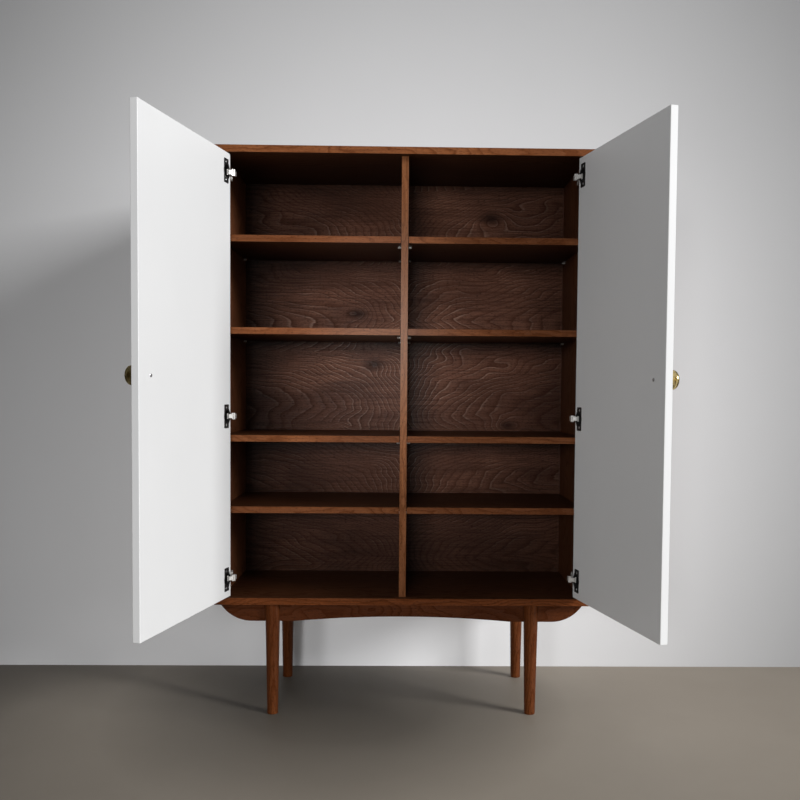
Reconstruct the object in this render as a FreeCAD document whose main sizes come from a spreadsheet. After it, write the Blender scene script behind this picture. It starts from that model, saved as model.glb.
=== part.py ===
# Highboard: a walnut carcass with two inset doors, eight shelves and a frame of four turned legs.
# Millimetres, +Z up, X across the front, the front faces -Y. The doors stand open at rest.
# The origin lies on the floor, in the middle of the box that encloses the open cabinet.

import FreeCAD, Part
import math
import os
import Sketcher

os.makedirs("parts", exist_ok=True)
doc = FreeCAD.newDocument("highboard")
sheet = doc.addObject("Spreadsheet::Sheet", "Sizes")

SIZES = {
    # Carcass
    "width": 1000, "depth": 380, "height": 1510, "board": 19, "leg_height": 300,
    "back_thick": 5, "back_lap": 9, "back_play": 0.5, "set_back": 22, "ease": 1,
    # Shelves, counted from the bottom, and the pegs that carry them
    "shelf_thick": 18, "shelf_end_play": 1, "shelf_back_play": 3,
    "bay_one": 224, "bay_two": 173, "bay_three": 268, "bay_four": 225,
    "peg_radius": 3, "peg_length": 9, "spigot_radius": 2.5, "spigot_length": 8,
    "peg_front": 56, "peg_back": 32,
    # Doors and the axis they turn on, measured from the front inner corner of the side panel
    "door_thick": 18, "door_gap": 3, "door_ease": 1.5, "pivot_in": 10.5, "pivot_back": 7,
    "open_angle": 103,
    # Knobs
    "knob_edge": 52, "knob_radius": 22, "knob_rim": 28, "knob_reach": 40.2, "knob_shoulder": 8,
    "knob_neck": 8, "knob_foot": 12, "knob_foot_high": 4, "knob_lip": 1.6, "knob_bore_deep": 12,
    # Cup hinges
    "cup_radius": 17.5, "cup_deep": 12, "cup_wall": 0.8, "cup_edge": 5, "cup_rim": 1,
    "flange_thick": 1.2, "flange_end": 8.5, "flange_far": 17, "flange_near": 9, "flange_corner": 2.5,
    "web_near": 18, "web_half": 8, "web_drop": 2, "cup_screw_pitch": 45, "cup_screw_aside": 6,
    "hinge_end": 49, "arm_thick": 9, "arm_high": 12, "arm_rear": 84, "arm_turn": 22.8,
    "neck_wide": 6, "crank_deep": 6, "nose_in": 32.4, "nose_back": 11, "nose_radius": 3,
    "knee_in": 17.8, "knee_back": 8.8, "roll_in": 14.6, "roll_back": 12, "roll_radius": 1.9,
    "link_thick": 3, "link_waist": 10.5, "link_roll_high": 14, "link_ear": 2, "ear_radius": 3.4,
    "ear_play": 0.3, "nose_play": 0.9, "pin_radius": 1.25, "pin_play": 0.05,
    "plate_thick": 2.5, "plate_end": 7, "plate_wide": 14, "plate_mid": 60, "plate_pitch": 32,
    "rib_thick": 6, "rib_high": 13, "rib_long": 44, "arm_screw_front": 47, "arm_screw_rear": 74,
    # Legs and the frame under the carcass
    "leg_top": 20, "leg_foot": 14.5, "leg_across": 348, "leg_front": 26, "leg_rear": 34,
    "foot_ease": 1.5, "apron_thick": 18, "apron_high": 49, "apron_inset": 10, "apron_round": 100,
    "arch_half": 291, "arch_rise": 13, "rail_across": 314, "rail_high": 34,
    # Fastenings
    "screw_radius": 1.75, "screw_head": 3.6, "screw_cone": 2.2, "screw_play": 0.2,
    "back_screw_long": 19, "leg_screw_long": 30, "leg_screw_pitch": 22,
    "rail_screw_long": 28, "rail_counterbore": 18, "rail_bore_radius": 5, "plate_screw_long": 15,
    "cup_screw_long": 11, "machine_radius": 2, "pan_head": 4, "pan_high": 1.8, "pan_slot": 0.9,
    "dowel_radius": 4, "dowel_long": 30, "dowel_shallow": 11, "rail_dowel_pitch": 15,
    # Lengths that only drive a cut through and out of the wood
    "overrun": 5,
}
# The middle hinge sits nearly at three fifths of the door's height, measured from the top
SHARES = {"hinge_middle_share": 0.588, "knob_height_share": 0.498}


def fill_sheet(values, first_row):
    for row, (alias, value) in enumerate(values.items(), first_row):
        sheet.set(f"A{row}", alias)
        sheet.set(f"B{row}", str(value))
        sheet.setAlias(f"B{row}", alias)
    return first_row + len(values)


fill_sheet(SHARES, fill_sheet(SIZES, 1))
doc.recompute()


class Size:
    """A number together with the sheet formula that gives it, so that it is written once."""

    def __init__(self, value, formula):
        self.value = float(value)
        self.formula = formula

    def __add__(self, other):
        other = as_size(other)
        return Size(self.value + other.value, f"({self.formula} + {other.formula})")

    def __sub__(self, other):
        other = as_size(other)
        return Size(self.value - other.value, f"({self.formula} - {other.formula})")

    def __mul__(self, other):
        other = as_size(other)
        return Size(self.value * other.value, f"({self.formula} * {other.formula})")

    def __truediv__(self, other):
        other = as_size(other)
        return Size(self.value / other.value, f"({self.formula} / {other.formula})")

    def __radd__(self, other):
        return as_size(other) + self

    def __rsub__(self, other):
        return as_size(other) - self

    def __rmul__(self, other):
        return as_size(other) * self

    def __neg__(self):
        return as_size(0) - self


def as_size(number):
    return number if isinstance(number, Size) else Size(number, repr(number))


def root(size):
    return Size(math.sqrt(size.value), f"sqrt({size.formula})")


def sine(angle):
    return Size(math.sin(math.radians(angle.value)), f"sin({angle.formula})")


def cosine(angle):
    return Size(math.cos(math.radians(angle.value)), f"cos({angle.formula})")


S = {alias: Size(sheet.get(alias), f"Sizes.{alias}") for alias in (*SIZES, *SHARES)}

# Levels and places that follow from the sizes above
ZERO = as_size(0)
half_width = S["width"] / 2
inner_half = half_width - S["board"]
floor_top = S["leg_height"] + S["board"]
ceiling = S["height"] - S["board"]
back_face = S["depth"] - S["back_thick"]
bay_heights = [S["bay_one"], S["bay_two"], S["bay_three"], S["bay_four"]]
shelf_levels = []
for bay in bay_heights:
    shelf_levels.append((shelf_levels[-1] if shelf_levels else floor_top) + bay + S["shelf_thick"])
door_width = (2 * inner_half - 3 * S["door_gap"]) / 2
door_low = floor_top + S["door_gap"]
door_high = ceiling - S["door_gap"]
hinge_levels = {
    "top": door_high - S["hinge_end"],
    "middle": door_high - (door_high - door_low) * S["hinge_middle_share"],
    "bottom": door_low + S["hinge_end"],
}
cup_in = S["door_gap"] + S["cup_edge"] + S["cup_radius"]
apron_rear_face = S["depth"] - S["leg_rear"]
apron_low = S["leg_height"] - S["apron_high"]
frame_front = S["leg_front"] + S["apron_thick"]
frame_back = apron_rear_face - S["apron_thick"]
SIDES = {"left": -1, "right": 1}

# An open door reaches this far in front of the carcass, to the rounded corner of its free edge
door_reach = (
    sine(S["open_angle"]) * (S["door_gap"] + door_width - S["pivot_in"] - S["door_ease"])
    - cosine(S["open_angle"]) * (S["door_thick"] - S["door_ease"] - S["pivot_back"])
    + S["door_ease"] - S["pivot_back"]
)
front_shift = (door_reach - S["depth"]) / 2


def bind(thing, prop, size):
    thing.setExpression(prop, as_size(size).formula)


def vector(x, y, z):
    return FreeCAD.Vector(as_size(x).value, as_size(y).value, as_size(z).value)


# Sketching and feature helpers

def new_body(name):
    body = doc.addObject("PartDesign::Body", name)
    body.Label = name
    return body


# The origin plane across each axis, and whether its normal runs along or against that axis
PLANES = {"X": ("YZ_Plane", 1), "Y": ("XZ_Plane", -1), "Z": ("XY_Plane", 1)}
facing = {}


def new_sketch(body, axis, position=ZERO):
    """A sketch square to an axis of the body, at a position along that axis."""
    role, sign = PLANES[axis]
    sketch = body.newObject("Sketcher::SketchObject", body.Name + "_sketch")
    plane = next(item for item in body.Origin.OriginFeatures if item.Role == role)
    sketch.AttachmentSupport = [(plane, "")]
    sketch.MapMode = "FlatFace"
    bind(sketch, "AttachmentOffset.Base.z", sign * position)
    facing[sketch.Name] = sign
    return sketch


def locate(sketch, geometry, point, x, y):
    """Ties one point of the sketch to its place, given from the sketch's origin."""
    for kind, axis, size in (("DistanceX", -2, x), ("DistanceY", -1, y)):
        if size.formula == "0":
            sketch.addConstraint(Sketcher.Constraint("PointOnObject", geometry, point, axis))
            continue
        index = sketch.addConstraint(Sketcher.Constraint(kind, -1, 1, geometry, point, size.value))
        bind(sketch, f"Constraints[{index}]", size)


def draw_outline(sketch, corners, arcs=None):
    """A closed outline through the corners; arcs gives {edge number: (radius, middle point)}."""
    arcs = arcs or {}
    corners = [(as_size(x), as_size(y)) for x, y in corners]
    flat = [FreeCAD.Vector(x.value, y.value, 0) for x, y in corners]
    ends = []
    for number, start in enumerate(flat):
        stop = flat[(number + 1) % len(flat)]
        if number not in arcs:
            geometry = sketch.addGeometry(Part.LineSegment(start, stop), False)
            ends.append((geometry, 1, 2))
            continue
        radius, middle = arcs[number]
        curve = Part.Arc(start, FreeCAD.Vector(middle[0].value, middle[1].value, 0), stop)
        geometry = sketch.addGeometry(curve, False)
        starts_here = sketch.getPoint(geometry, 1).distanceToPoint(start) < radius.value / 1000
        ends.append((geometry, 1, 2) if starts_here else (geometry, 2, 1))
    for number, (geometry, first, last) in enumerate(ends):
        following = ends[(number + 1) % len(ends)]
        link = Sketcher.Constraint("Coincident", geometry, last, following[0], following[1])
        sketch.addConstraint(link)
    for (x, y), (geometry, first, last) in zip(corners, ends):
        locate(sketch, geometry, first, x, y)
    for number, (radius, middle) in arcs.items():
        geometry = ends[number][0]
        index = sketch.addConstraint(Sketcher.Constraint("Radius", geometry, radius.value))
        bind(sketch, f"Constraints[{index}]", radius)


def draw_rectangle(sketch, low_x, low_y, high_x, high_y):
    draw_outline(sketch, [(low_x, low_y), (high_x, low_y), (high_x, high_y), (low_x, high_y)])


def draw_circles(sketch, centres, radius):
    for x, y in centres:
        x, y = as_size(x), as_size(y)
        circle = Part.Circle(FreeCAD.Vector(x.value, y.value, 0), FreeCAD.Vector(0, 0, 1), radius.value)
        geometry = sketch.addGeometry(circle, False)
        index = sketch.addConstraint(Sketcher.Constraint("Radius", geometry, radius.value))
        bind(sketch, f"Constraints[{index}]", radius)
        locate(sketch, geometry, 3, x, y)


def pad(body, sketch, length, toward=1):
    """Thickens the sketch toward one end of its axis, or to both sides alike where toward is 0."""
    feature = body.newObject("PartDesign::Pad", body.Name + "_pad")
    feature.Profile = sketch
    bind(feature, "Length", length)
    feature.Reversed = toward * facing[sketch.Name] < 0
    feature.SideType = "One side" if toward else "Symmetric"
    body.Tip = feature
    doc.recompute()


def pocket(body, sketch, length, toward=1):
    """Cuts the sketch into the body and makes sure that wood or metal really came away."""
    before = body.Shape.Volume
    feature = body.newObject("PartDesign::Pocket", body.Name + "_pocket")
    feature.Profile = sketch
    bind(feature, "Length", length)
    feature.Reversed = toward * facing[sketch.Name] > 0
    feature.SideType = "One side" if toward else "Symmetric"
    body.Tip = feature
    doc.recompute()
    if body.Shape.Volume >= before * (1 - 1e-9):
        raise RuntimeError(f"{body.Label}: a pocket cuts nothing")


def revolve(body, sketch):
    feature = body.newObject("PartDesign::Revolution", body.Name + "_revolution")
    feature.Profile = sketch
    feature.ReferenceAxis = (sketch, ["V_Axis"])
    body.Tip = feature
    doc.recompute()
    return feature


def ease_edges(body, radius, chosen):
    """Rounds the edges of the body that the chosen test picks."""
    tip = body.Tip
    names = [f"Edge{i}" for i, edge in enumerate(tip.Shape.Edges, 1) if chosen(edge)]
    if not names:
        raise RuntimeError(f"{body.Label}: no edge to ease")
    feature = body.newObject("PartDesign::Fillet", body.Name + "_ease")
    feature.Base = (tip, names)
    bind(feature, "Radius", radius)
    body.Tip = feature
    doc.recompute()


def along(edge, axis):
    start, end = edge.Vertexes[0].Point, edge.Vertexes[-1].Point
    return len(edge.Vertexes) == 2 and (end - start).getAngle(axis) % math.pi < 1e-6


def on_level(edge, coordinate, size):
    tolerance = S["ease"].value / 1000
    return all(abs(getattr(v.Point, coordinate) - as_size(size).value) < tolerance for v in edge.Vertexes)


# Placing the finished pieces

nodes = []


def carcass_place(x=ZERO, y=ZERO, z=ZERO, turn=0):
    spin = FreeCAD.Rotation(FreeCAD.Vector(0, 0, 1), turn)
    return FreeCAD.Placement(vector(x, y + front_shift, z), spin)


def swung_place(side, angle, pivot_in, pivot_back):
    """Turns a piece drawn with its door closed about an upright axis beside the side panel."""
    axis = vector(side * (inner_half - pivot_in), pivot_back, ZERO)
    spin = FreeCAD.Rotation(FreeCAD.Vector(0, 0, 1), side * angle)
    return carcass_place() * FreeCAD.Placement(FreeCAD.Vector(), spin, axis)


def door_place(side):
    return swung_place(side, S["open_angle"].value, S["pivot_in"], S["pivot_back"])


# Each turn of a link is this share of its door's turn, the other way
LINK_TURN_SHARE = 0.338


def link_place(side):
    turn = -LINK_TURN_SHARE * S["open_angle"].value
    return swung_place(side, turn, S["nose_in"], S["nose_back"])


def finish(piece, label, place):
    piece.Label = label
    piece.Placement = place
    nodes.append(piece)


def finish_group(label, shapes, place):
    """Identical fastenings: one node that holds a separate solid for each."""
    group = doc.addObject("Part::Feature", label)
    group.Shape = Part.makeCompound(shapes)
    finish(group, label, place)


def copies(pattern, spots):
    """Copies of a pattern piece, one for each (x, y, z, rotation)."""
    shapes = []
    for x, y, z, spin in spots:
        shape = pattern.Shape.copy()
        shape.Placement = FreeCAD.Placement(vector(x, y, z), spin)
        shapes.append(shape)
    return shapes


FACING_BACK = FreeCAD.Rotation(FreeCAD.Vector(1, 0, 0), -90)
FACING_FRONT = FreeCAD.Rotation(FreeCAD.Vector(1, 0, 0), 90)
FACING_DOWN = FreeCAD.Rotation(FreeCAD.Vector(1, 0, 0), 180)
FACING_UP = FreeCAD.Rotation()
FACING_RIGHT = FreeCAD.Rotation(FreeCAD.Vector(0, 1, 0), 90)
FACING_LEFT = FreeCAD.Rotation(FreeCAD.Vector(0, 1, 0), -90)


# Fastening patterns, drawn with the head's face at the origin and the shank along -Z

def countersunk_screw(name, length):
    body = new_body(name)
    sketch = new_sketch(body, "Y")
    point = S["screw_radius"]
    draw_outline(sketch, [
        (ZERO, ZERO), (S["screw_head"], ZERO), (S["screw_radius"], -S["screw_cone"]),
        (S["screw_radius"], point - length), (ZERO, -length)])
    revolve(body, sketch)
    return body


def pan_screw(name, length):
    """A round-headed screw whose head stands on the surface, with a straight slot."""
    body = new_body(name)
    sketch = new_sketch(body, "Y")
    draw_outline(sketch, [
        (ZERO, S["pan_high"]), (S["pan_head"] - S["pan_slot"], S["pan_high"]),
        (S["pan_head"], S["pan_high"] - S["pan_slot"]), (S["pan_head"], ZERO),
        (S["machine_radius"], ZERO), (S["machine_radius"], -length), (ZERO, -length)])
    revolve(body, sketch)
    slot = new_sketch(body, "Z", S["pan_high"])
    draw_rectangle(slot, -S["pan_head"], -S["pan_slot"] / 2, S["pan_head"], S["pan_slot"] / 2)
    pocket(body, slot, S["pan_slot"], toward=-1)
    return body


def rod(name, radius, length):
    body = new_body(name)
    sketch = new_sketch(body, "Z")
    draw_circles(sketch, [(ZERO, ZERO)], radius)
    pad(body, sketch, length)
    return body


# Carcass boards

divider_half = S["board"] / 2
dowel_steps = [S["set_back"] + (back_face - S["set_back"]) * (2 * i + 1) / 6 for i in range(3)]
dowel_spots = [(ZERO, y) for y in dowel_steps]
rail_screw_steps = [frame_front + (frame_back - frame_front) * (2 * i + 1) / 6 for i in range(3)]
rail_screw_spots = [(side * S["rail_across"], y) for side in (-1, 1) for y in rail_screw_steps]
rail_screw_bite = S["rail_screw_long"] - (S["rail_high"] - S["rail_counterbore"])


def mitred_board(label, corners, length_axis):
    """One of the four outer boards: mitred at both ends, rebated for the back panel."""
    body = new_body(label)
    outline = new_sketch(body, "Y")
    draw_outline(outline, corners)
    pad(body, outline, S["depth"])
    ease_edges(body, S["ease"], lambda edge: along(edge, length_axis) and on_level(edge, "y", ZERO))
    rebate = new_sketch(body, "Y", S["depth"])
    draw_rectangle(rebate, -inner_half - S["back_lap"], floor_top - S["back_lap"],
                   inner_half + S["back_lap"], ceiling + S["back_lap"])
    pocket(body, rebate, S["back_thick"], toward=-1)
    return body


def back_screw_spots():
    """Where the back panel is screwed on: round its edge and down the divider, as (x, z)."""
    edge_x = inner_half + S["back_lap"] / 2
    low, high = floor_top - S["back_lap"] / 2, ceiling + S["back_lap"] / 2
    spots = []
    for i in range(5):
        level = low + (high - low) * (2 * i + 1) / 10
        spots += [(-edge_x, level), (edge_x, level), (ZERO, level)]
    for i in range(4):
        across = edge_x * (2 * i - 3) / 4
        spots += [(across, low), (across, high)]
    return spots


def drill_back_screws(body, chosen):
    spots = [spot for spot in back_screw_spots() if chosen(spot)]
    sketch = new_sketch(body, "Y", back_face)
    draw_circles(sketch, spots, S["screw_radius"])
    pocket(body, sketch, S["back_screw_long"] - S["back_thick"], toward=-1)


def peg_steps():
    """How far behind the front the two rows of shelf pegs stand."""
    return [S["set_back"] + S["peg_front"], back_face - S["peg_back"]]


def peg_levels():
    return [level - S["shelf_thick"] - S["peg_radius"] for level in shelf_levels]


def drill_pegs(body, face_x, toward):
    sketch = new_sketch(body, "X", face_x)
    draw_circles(sketch, [(y, z) for z in peg_levels() for y in peg_steps()], S["spigot_radius"])
    pocket(body, sketch, S["spigot_length"], toward)


def make_top_and_bottom():
    levels = {
        "top_panel": (S["height"], ceiling, 1),
        "bottom_panel": (S["leg_height"], floor_top, -1),
    }
    for label, (outer, inner, outward) in levels.items():
        corners = [(-half_width, outer), (half_width, outer), (inner_half, inner), (-inner_half, inner)]
        body = mitred_board(label, corners, FreeCAD.Vector(1, 0, 0))
        dowel_holes = new_sketch(body, "Z", inner)
        draw_circles(dowel_holes, dowel_spots, S["dowel_radius"])
        pocket(body, dowel_holes, S["dowel_shallow"], toward=outward)
        middle = (outer + inner) / 2
        reach = S["board"].value
        drill_back_screws(body, lambda spot: abs(spot[1].value - middle.value) < reach)
        if label == "bottom_panel":
            pilot = new_sketch(body, "Z", S["leg_height"])
            draw_circles(pilot, rail_screw_spots, S["screw_radius"])
            pocket(body, pilot, rail_screw_bite)
        finish(body, label, carcass_place())


def make_sides():
    for name, side in SIDES.items():
        corners = [(side * half_width, S["leg_height"]), (side * half_width, S["height"]),
                   (side * inner_half, ceiling), (side * inner_half, floor_top)]
        body = mitred_board("side_panel_" + name, corners, FreeCAD.Vector(0, 0, 1))
        drill_pegs(body, side * inner_half, toward=side)
        pilot = new_sketch(body, "X", side * inner_half)
        spots = [(S["plate_mid"], z + S["plate_pitch"] * up / 2)
                 for z in hinge_levels.values() for up in (-1, 1)]
        draw_circles(pilot, spots, S["screw_radius"])
        pocket(body, pilot, S["plate_screw_long"] - S["plate_thick"], toward=side)
        drill_back_screws(body, lambda spot: spot[0].value * side > inner_half.value)
        finish(body, body.Label, carcass_place())


def make_divider():
    body = new_body("centre_divider")
    outline = new_sketch(body, "Z", floor_top)
    draw_rectangle(outline, -divider_half, S["set_back"], divider_half, back_face)
    pad(body, outline, ceiling - floor_top)
    front = S["set_back"]
    ease_edges(body, S["ease"],
               lambda edge: along(edge, FreeCAD.Vector(0, 0, 1)) and on_level(edge, "y", front))
    drill_pegs(body, -divider_half, toward=1)
    drill_pegs(body, divider_half, toward=-1)
    for level, inward in ((floor_top, 1), (ceiling, -1)):
        holes = new_sketch(body, "Z", level)
        draw_circles(holes, dowel_spots, S["dowel_radius"])
        pocket(body, holes, S["dowel_long"] - S["dowel_shallow"], toward=inward)
    drill_back_screws(body, lambda spot: spot[0].formula == "0")
    finish(body, "centre_divider", carcass_place())


def make_back():
    body = new_body("back_panel")
    reach = inner_half + S["back_lap"] - S["back_play"]
    low = floor_top - S["back_lap"] + S["back_play"]
    high = ceiling + S["back_lap"] - S["back_play"]
    outline = new_sketch(body, "Y", back_face)
    draw_rectangle(outline, -reach, low, reach, high)
    pad(body, outline, S["back_thick"])
    holes = new_sketch(body, "Y", S["depth"])
    draw_circles(holes, back_screw_spots(), S["screw_head"])
    pocket(body, holes, S["back_thick"], toward=-1)
    finish(body, "back_panel", carcass_place())
    pattern = countersunk_screw("back_screw_pattern", S["back_screw_long"])
    spots = [(x, S["depth"], z, FACING_BACK) for x, z in back_screw_spots()]
    finish_group("back_panel_screws", copies(pattern, spots), carcass_place())


def make_shelves():
    near = divider_half + S["shelf_end_play"]
    far = inner_half - S["shelf_end_play"]
    front = S["set_back"]
    for name, side in SIDES.items():
        for number, level in enumerate(shelf_levels, 1):
            body = new_body(f"shelf_{name}_{number}")
            outline = new_sketch(body, "Z", level)
            draw_rectangle(outline, side * near, front, side * far, back_face - S["shelf_back_play"])
            pad(body, outline, S["shelf_thick"], toward=-1)
            ease_edges(body, S["ease"],
                       lambda edge: along(edge, FreeCAD.Vector(1, 0, 0)) and on_level(edge, "y", front))
            finish(body, body.Label, carcass_place())


def make_pegs():
    """Metal shelf pegs: a spigot in the board and a thicker peg that the shelf rests on."""
    body = new_body("peg_pattern")
    sketch = new_sketch(body, "Y")
    draw_outline(sketch, [
        (ZERO, -S["spigot_length"]), (S["spigot_radius"], -S["spigot_length"]),
        (S["spigot_radius"], ZERO), (S["peg_radius"], ZERO),
        (S["peg_radius"], S["peg_length"]), (ZERO, S["peg_length"])])
    revolve(body, sketch)
    ease_edges(body, S["ease"], lambda edge: on_level(edge, "z", S["peg_length"]))
    spots = []
    for z in peg_levels():
        for y in peg_steps():
            spots += [(-inner_half, y, z, FACING_RIGHT), (-divider_half, y, z, FACING_LEFT),
                      (divider_half, y, z, FACING_RIGHT), (inner_half, y, z, FACING_LEFT)]
    finish_group("shelf_pegs", copies(body, spots), carcass_place())


def make_dowels():
    pattern = rod("dowel_pattern", S["dowel_radius"], S["dowel_long"])
    spots = []
    for x, y in dowel_spots:
        spots.append((x, y, floor_top - S["dowel_shallow"], FACING_UP))
        spots.append((x, y, ceiling + S["dowel_shallow"], FACING_DOWN))
    finish_group("divider_dowels", copies(pattern, spots), carcass_place())


# Frame and legs

def make_legs():
    """Turned legs, halved at the top so that the front half laps over the apron's face."""
    ranks = {"front": (S["leg_front"], 0), "back": (apron_rear_face, 180)}
    for rank, (y, turn) in ranks.items():
        for name, side in SIDES.items():
            body = new_body(f"leg_{rank}_{name}")
            profile = new_sketch(body, "Y")
            draw_outline(profile, [(ZERO, ZERO), (S["leg_foot"], ZERO), (S["leg_top"], S["leg_height"]),
                                   (ZERO, S["leg_height"])])
            revolve(body, profile)
            ease_edges(body, S["foot_ease"], lambda edge: on_level(edge, "z", ZERO))
            reach = S["leg_top"] + S["overrun"]
            notch = new_sketch(body, "Z", S["leg_height"])
            draw_rectangle(notch, -reach, ZERO, reach, reach)
            pocket(body, notch, S["apron_high"], toward=-1)
            pilot = new_sketch(body, "Y")
            draw_circles(pilot, [(ZERO, z) for z in leg_screw_levels()], S["screw_radius"])
            pocket(body, pilot, S["leg_screw_long"] - S["apron_thick"], toward=-1)
            finish(body, body.Label, carcass_place(side * S["leg_across"], y, ZERO, turn))


def leg_screw_levels():
    middle = S["leg_height"] - S["apron_high"] / 2
    return [middle + S["leg_screw_pitch"] * up / 2 for up in (-1, 1)]


def rail_dowel_levels():
    middle = S["leg_height"] - S["rail_high"] / 2
    return [middle + S["rail_dowel_pitch"] * up / 2 for up in (-1, 1)]


def apron_outline(sketch):
    """Straight top, ends rounded up to the carcass, and a shallow arch between the legs."""
    top, low = S["leg_height"], apron_low
    end = half_width - S["apron_inset"]
    round_centre = low + S["apron_round"]
    round_reach = root(S["apron_round"] * S["apron_round"]
                       - (round_centre - top) * (round_centre - top))
    flat_end = end - round_reach
    round_mid_x = flat_end + S["apron_round"] * Size(0.5, "0.5")
    round_mid_z = round_centre - S["apron_round"] * Size(math.sqrt(0.75), "sqrt(0.75)")
    arch_radius = ((S["arch_half"] * S["arch_half"] + S["arch_rise"] * S["arch_rise"])
                   / (2 * S["arch_rise"]))
    corners = [(-end, top), (-flat_end, low), (-S["arch_half"], low), (S["arch_half"], low),
               (flat_end, low), (end, top)]
    arcs = {
        0: (S["apron_round"], (-round_mid_x, round_mid_z)),
        2: (arch_radius, (ZERO, low + S["arch_rise"])),
        4: (S["apron_round"], (round_mid_x, round_mid_z)),
    }
    draw_outline(sketch, corners, arcs)


def make_aprons():
    leg_holes = [(side * S["leg_across"], z) for side in (-1, 1) for z in leg_screw_levels()]
    dowel_holes = [(side * S["rail_across"], z) for side in (-1, 1) for z in rail_dowel_levels()]
    faces = {"front_apron": (S["leg_front"], frame_front, 1),
             "rear_apron": (apron_rear_face, frame_back, -1)}
    for label, (outer, inner, inward) in faces.items():
        body = new_body(label)
        sketch = new_sketch(body, "Y", outer)
        apron_outline(sketch)
        pad(body, sketch, S["apron_thick"], toward=inward)
        holes = new_sketch(body, "Y", outer)
        draw_circles(holes, leg_holes, S["screw_radius"] + S["screw_play"])
        pocket(body, holes, S["apron_thick"], toward=inward)
        sinks = new_sketch(body, "Y", inner)
        draw_circles(sinks, leg_holes, S["screw_head"])
        pocket(body, sinks, S["screw_cone"], toward=-inward)
        sockets = new_sketch(body, "Y", inner)
        draw_circles(sockets, dowel_holes, S["dowel_radius"])
        pocket(body, sockets, S["dowel_shallow"], toward=-inward)
        finish(body, label, carcass_place())
    pattern = countersunk_screw("leg_screw_pattern", S["leg_screw_long"])
    spots = [(x, frame_front, z, FACING_BACK) for x, z in leg_holes]
    spots += [(x, frame_back, z, FACING_FRONT) for x, z in leg_holes]
    finish_group("leg_screws", copies(pattern, spots), carcass_place())


def make_rails():
    """Rails that tie the aprons together and screw up into the bottom panel."""
    half = S["apron_thick"] / 2
    low = S["leg_height"] - S["rail_high"]
    for name, side in SIDES.items():
        middle = side * S["rail_across"]
        body = new_body("side_rail_" + name)
        outline = new_sketch(body, "Z", low)
        draw_rectangle(outline, middle - half, frame_front, middle + half, frame_back)
        pad(body, outline, S["rail_high"])
        screw_spots = [(middle, y) for y in rail_screw_steps]
        bore = new_sketch(body, "Z", low)
        draw_circles(bore, screw_spots, S["rail_bore_radius"])
        pocket(body, bore, S["rail_counterbore"])
        clearance = new_sketch(body, "Z", low)
        draw_circles(clearance, screw_spots, S["screw_radius"] + S["screw_play"])
        pocket(body, clearance, S["rail_high"])
        sinks = new_sketch(body, "Z", low + S["rail_counterbore"])
        draw_circles(sinks, screw_spots, S["screw_head"])
        pocket(body, sinks, S["screw_cone"])
        for face, inward in ((frame_front, 1), (frame_back, -1)):
            sockets = new_sketch(body, "Y", face)
            draw_circles(sockets, [(middle, z) for z in rail_dowel_levels()], S["dowel_radius"])
            pocket(body, sockets, S["dowel_long"] - S["dowel_shallow"], toward=inward)
        finish(body, body.Label, carcass_place())
    pattern = doc.getObject("dowel_pattern")
    spots = []
    for side in (-1, 1):
        for z in rail_dowel_levels():
            spots.append((side * S["rail_across"], frame_front - S["dowel_shallow"], z, FACING_BACK))
            spots.append((side * S["rail_across"], frame_back + S["dowel_shallow"], z, FACING_FRONT))
    finish_group("rail_dowels", copies(pattern, spots), carcass_place())
    screw = countersunk_screw("rail_screw_pattern", S["rail_screw_long"])
    seat = low + S["rail_counterbore"]
    spots = [(x, y, seat, FACING_DOWN) for x, y in rail_screw_spots]
    finish_group("rail_screws", copies(screw, spots), carcass_place())


# Doors

def cup_spots(side):
    return [(side * (inner_half - cup_in), z) for z in hinge_levels.values()]


def cup_screw_spots(side):
    """Two screws to a cup, set a little from its middle toward the middle of the door."""
    return [(x - side * S["cup_screw_aside"], z + S["cup_screw_pitch"] * up / 2)
            for x, z in cup_spots(side) for up in (-1, 1)]


def knob_spot(side):
    free_edge = inner_half - S["door_gap"] - door_width
    return side * (free_edge + S["knob_edge"]), door_low + (door_high - door_low) * S["knob_height_share"]


def make_doors():
    for name, side in SIDES.items():
        body = new_body("door_" + name)
        hung = side * (inner_half - S["door_gap"])
        outline = new_sketch(body, "Z", door_low)
        draw_rectangle(outline, hung, ZERO, hung - side * door_width, S["door_thick"])
        pad(body, outline, door_high - door_low)
        ease_edges(body, S["door_ease"], lambda edge: len(edge.Vertexes) == 2)
        cups = new_sketch(body, "Y", S["door_thick"])
        draw_circles(cups, cup_spots(side), S["cup_radius"])
        pocket(body, cups, S["cup_deep"], toward=-1)
        pilots = new_sketch(body, "Y", S["door_thick"])
        draw_circles(pilots, cup_screw_spots(side), S["screw_radius"])
        pocket(body, pilots, S["cup_screw_long"] - S["flange_thick"], toward=-1)
        sinks = new_sketch(body, "Y", S["door_thick"])
        draw_circles(sinks, cup_screw_spots(side), S["screw_head"])
        pocket(body, sinks, S["screw_cone"] - S["flange_thick"], toward=-1)
        hole = new_sketch(body, "Y", S["door_thick"])
        draw_circles(hole, [knob_spot(side)], S["machine_radius"] + S["screw_play"])
        pocket(body, hole, S["door_thick"], toward=-1)
        finish(body, body.Label, door_place(side))


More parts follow.
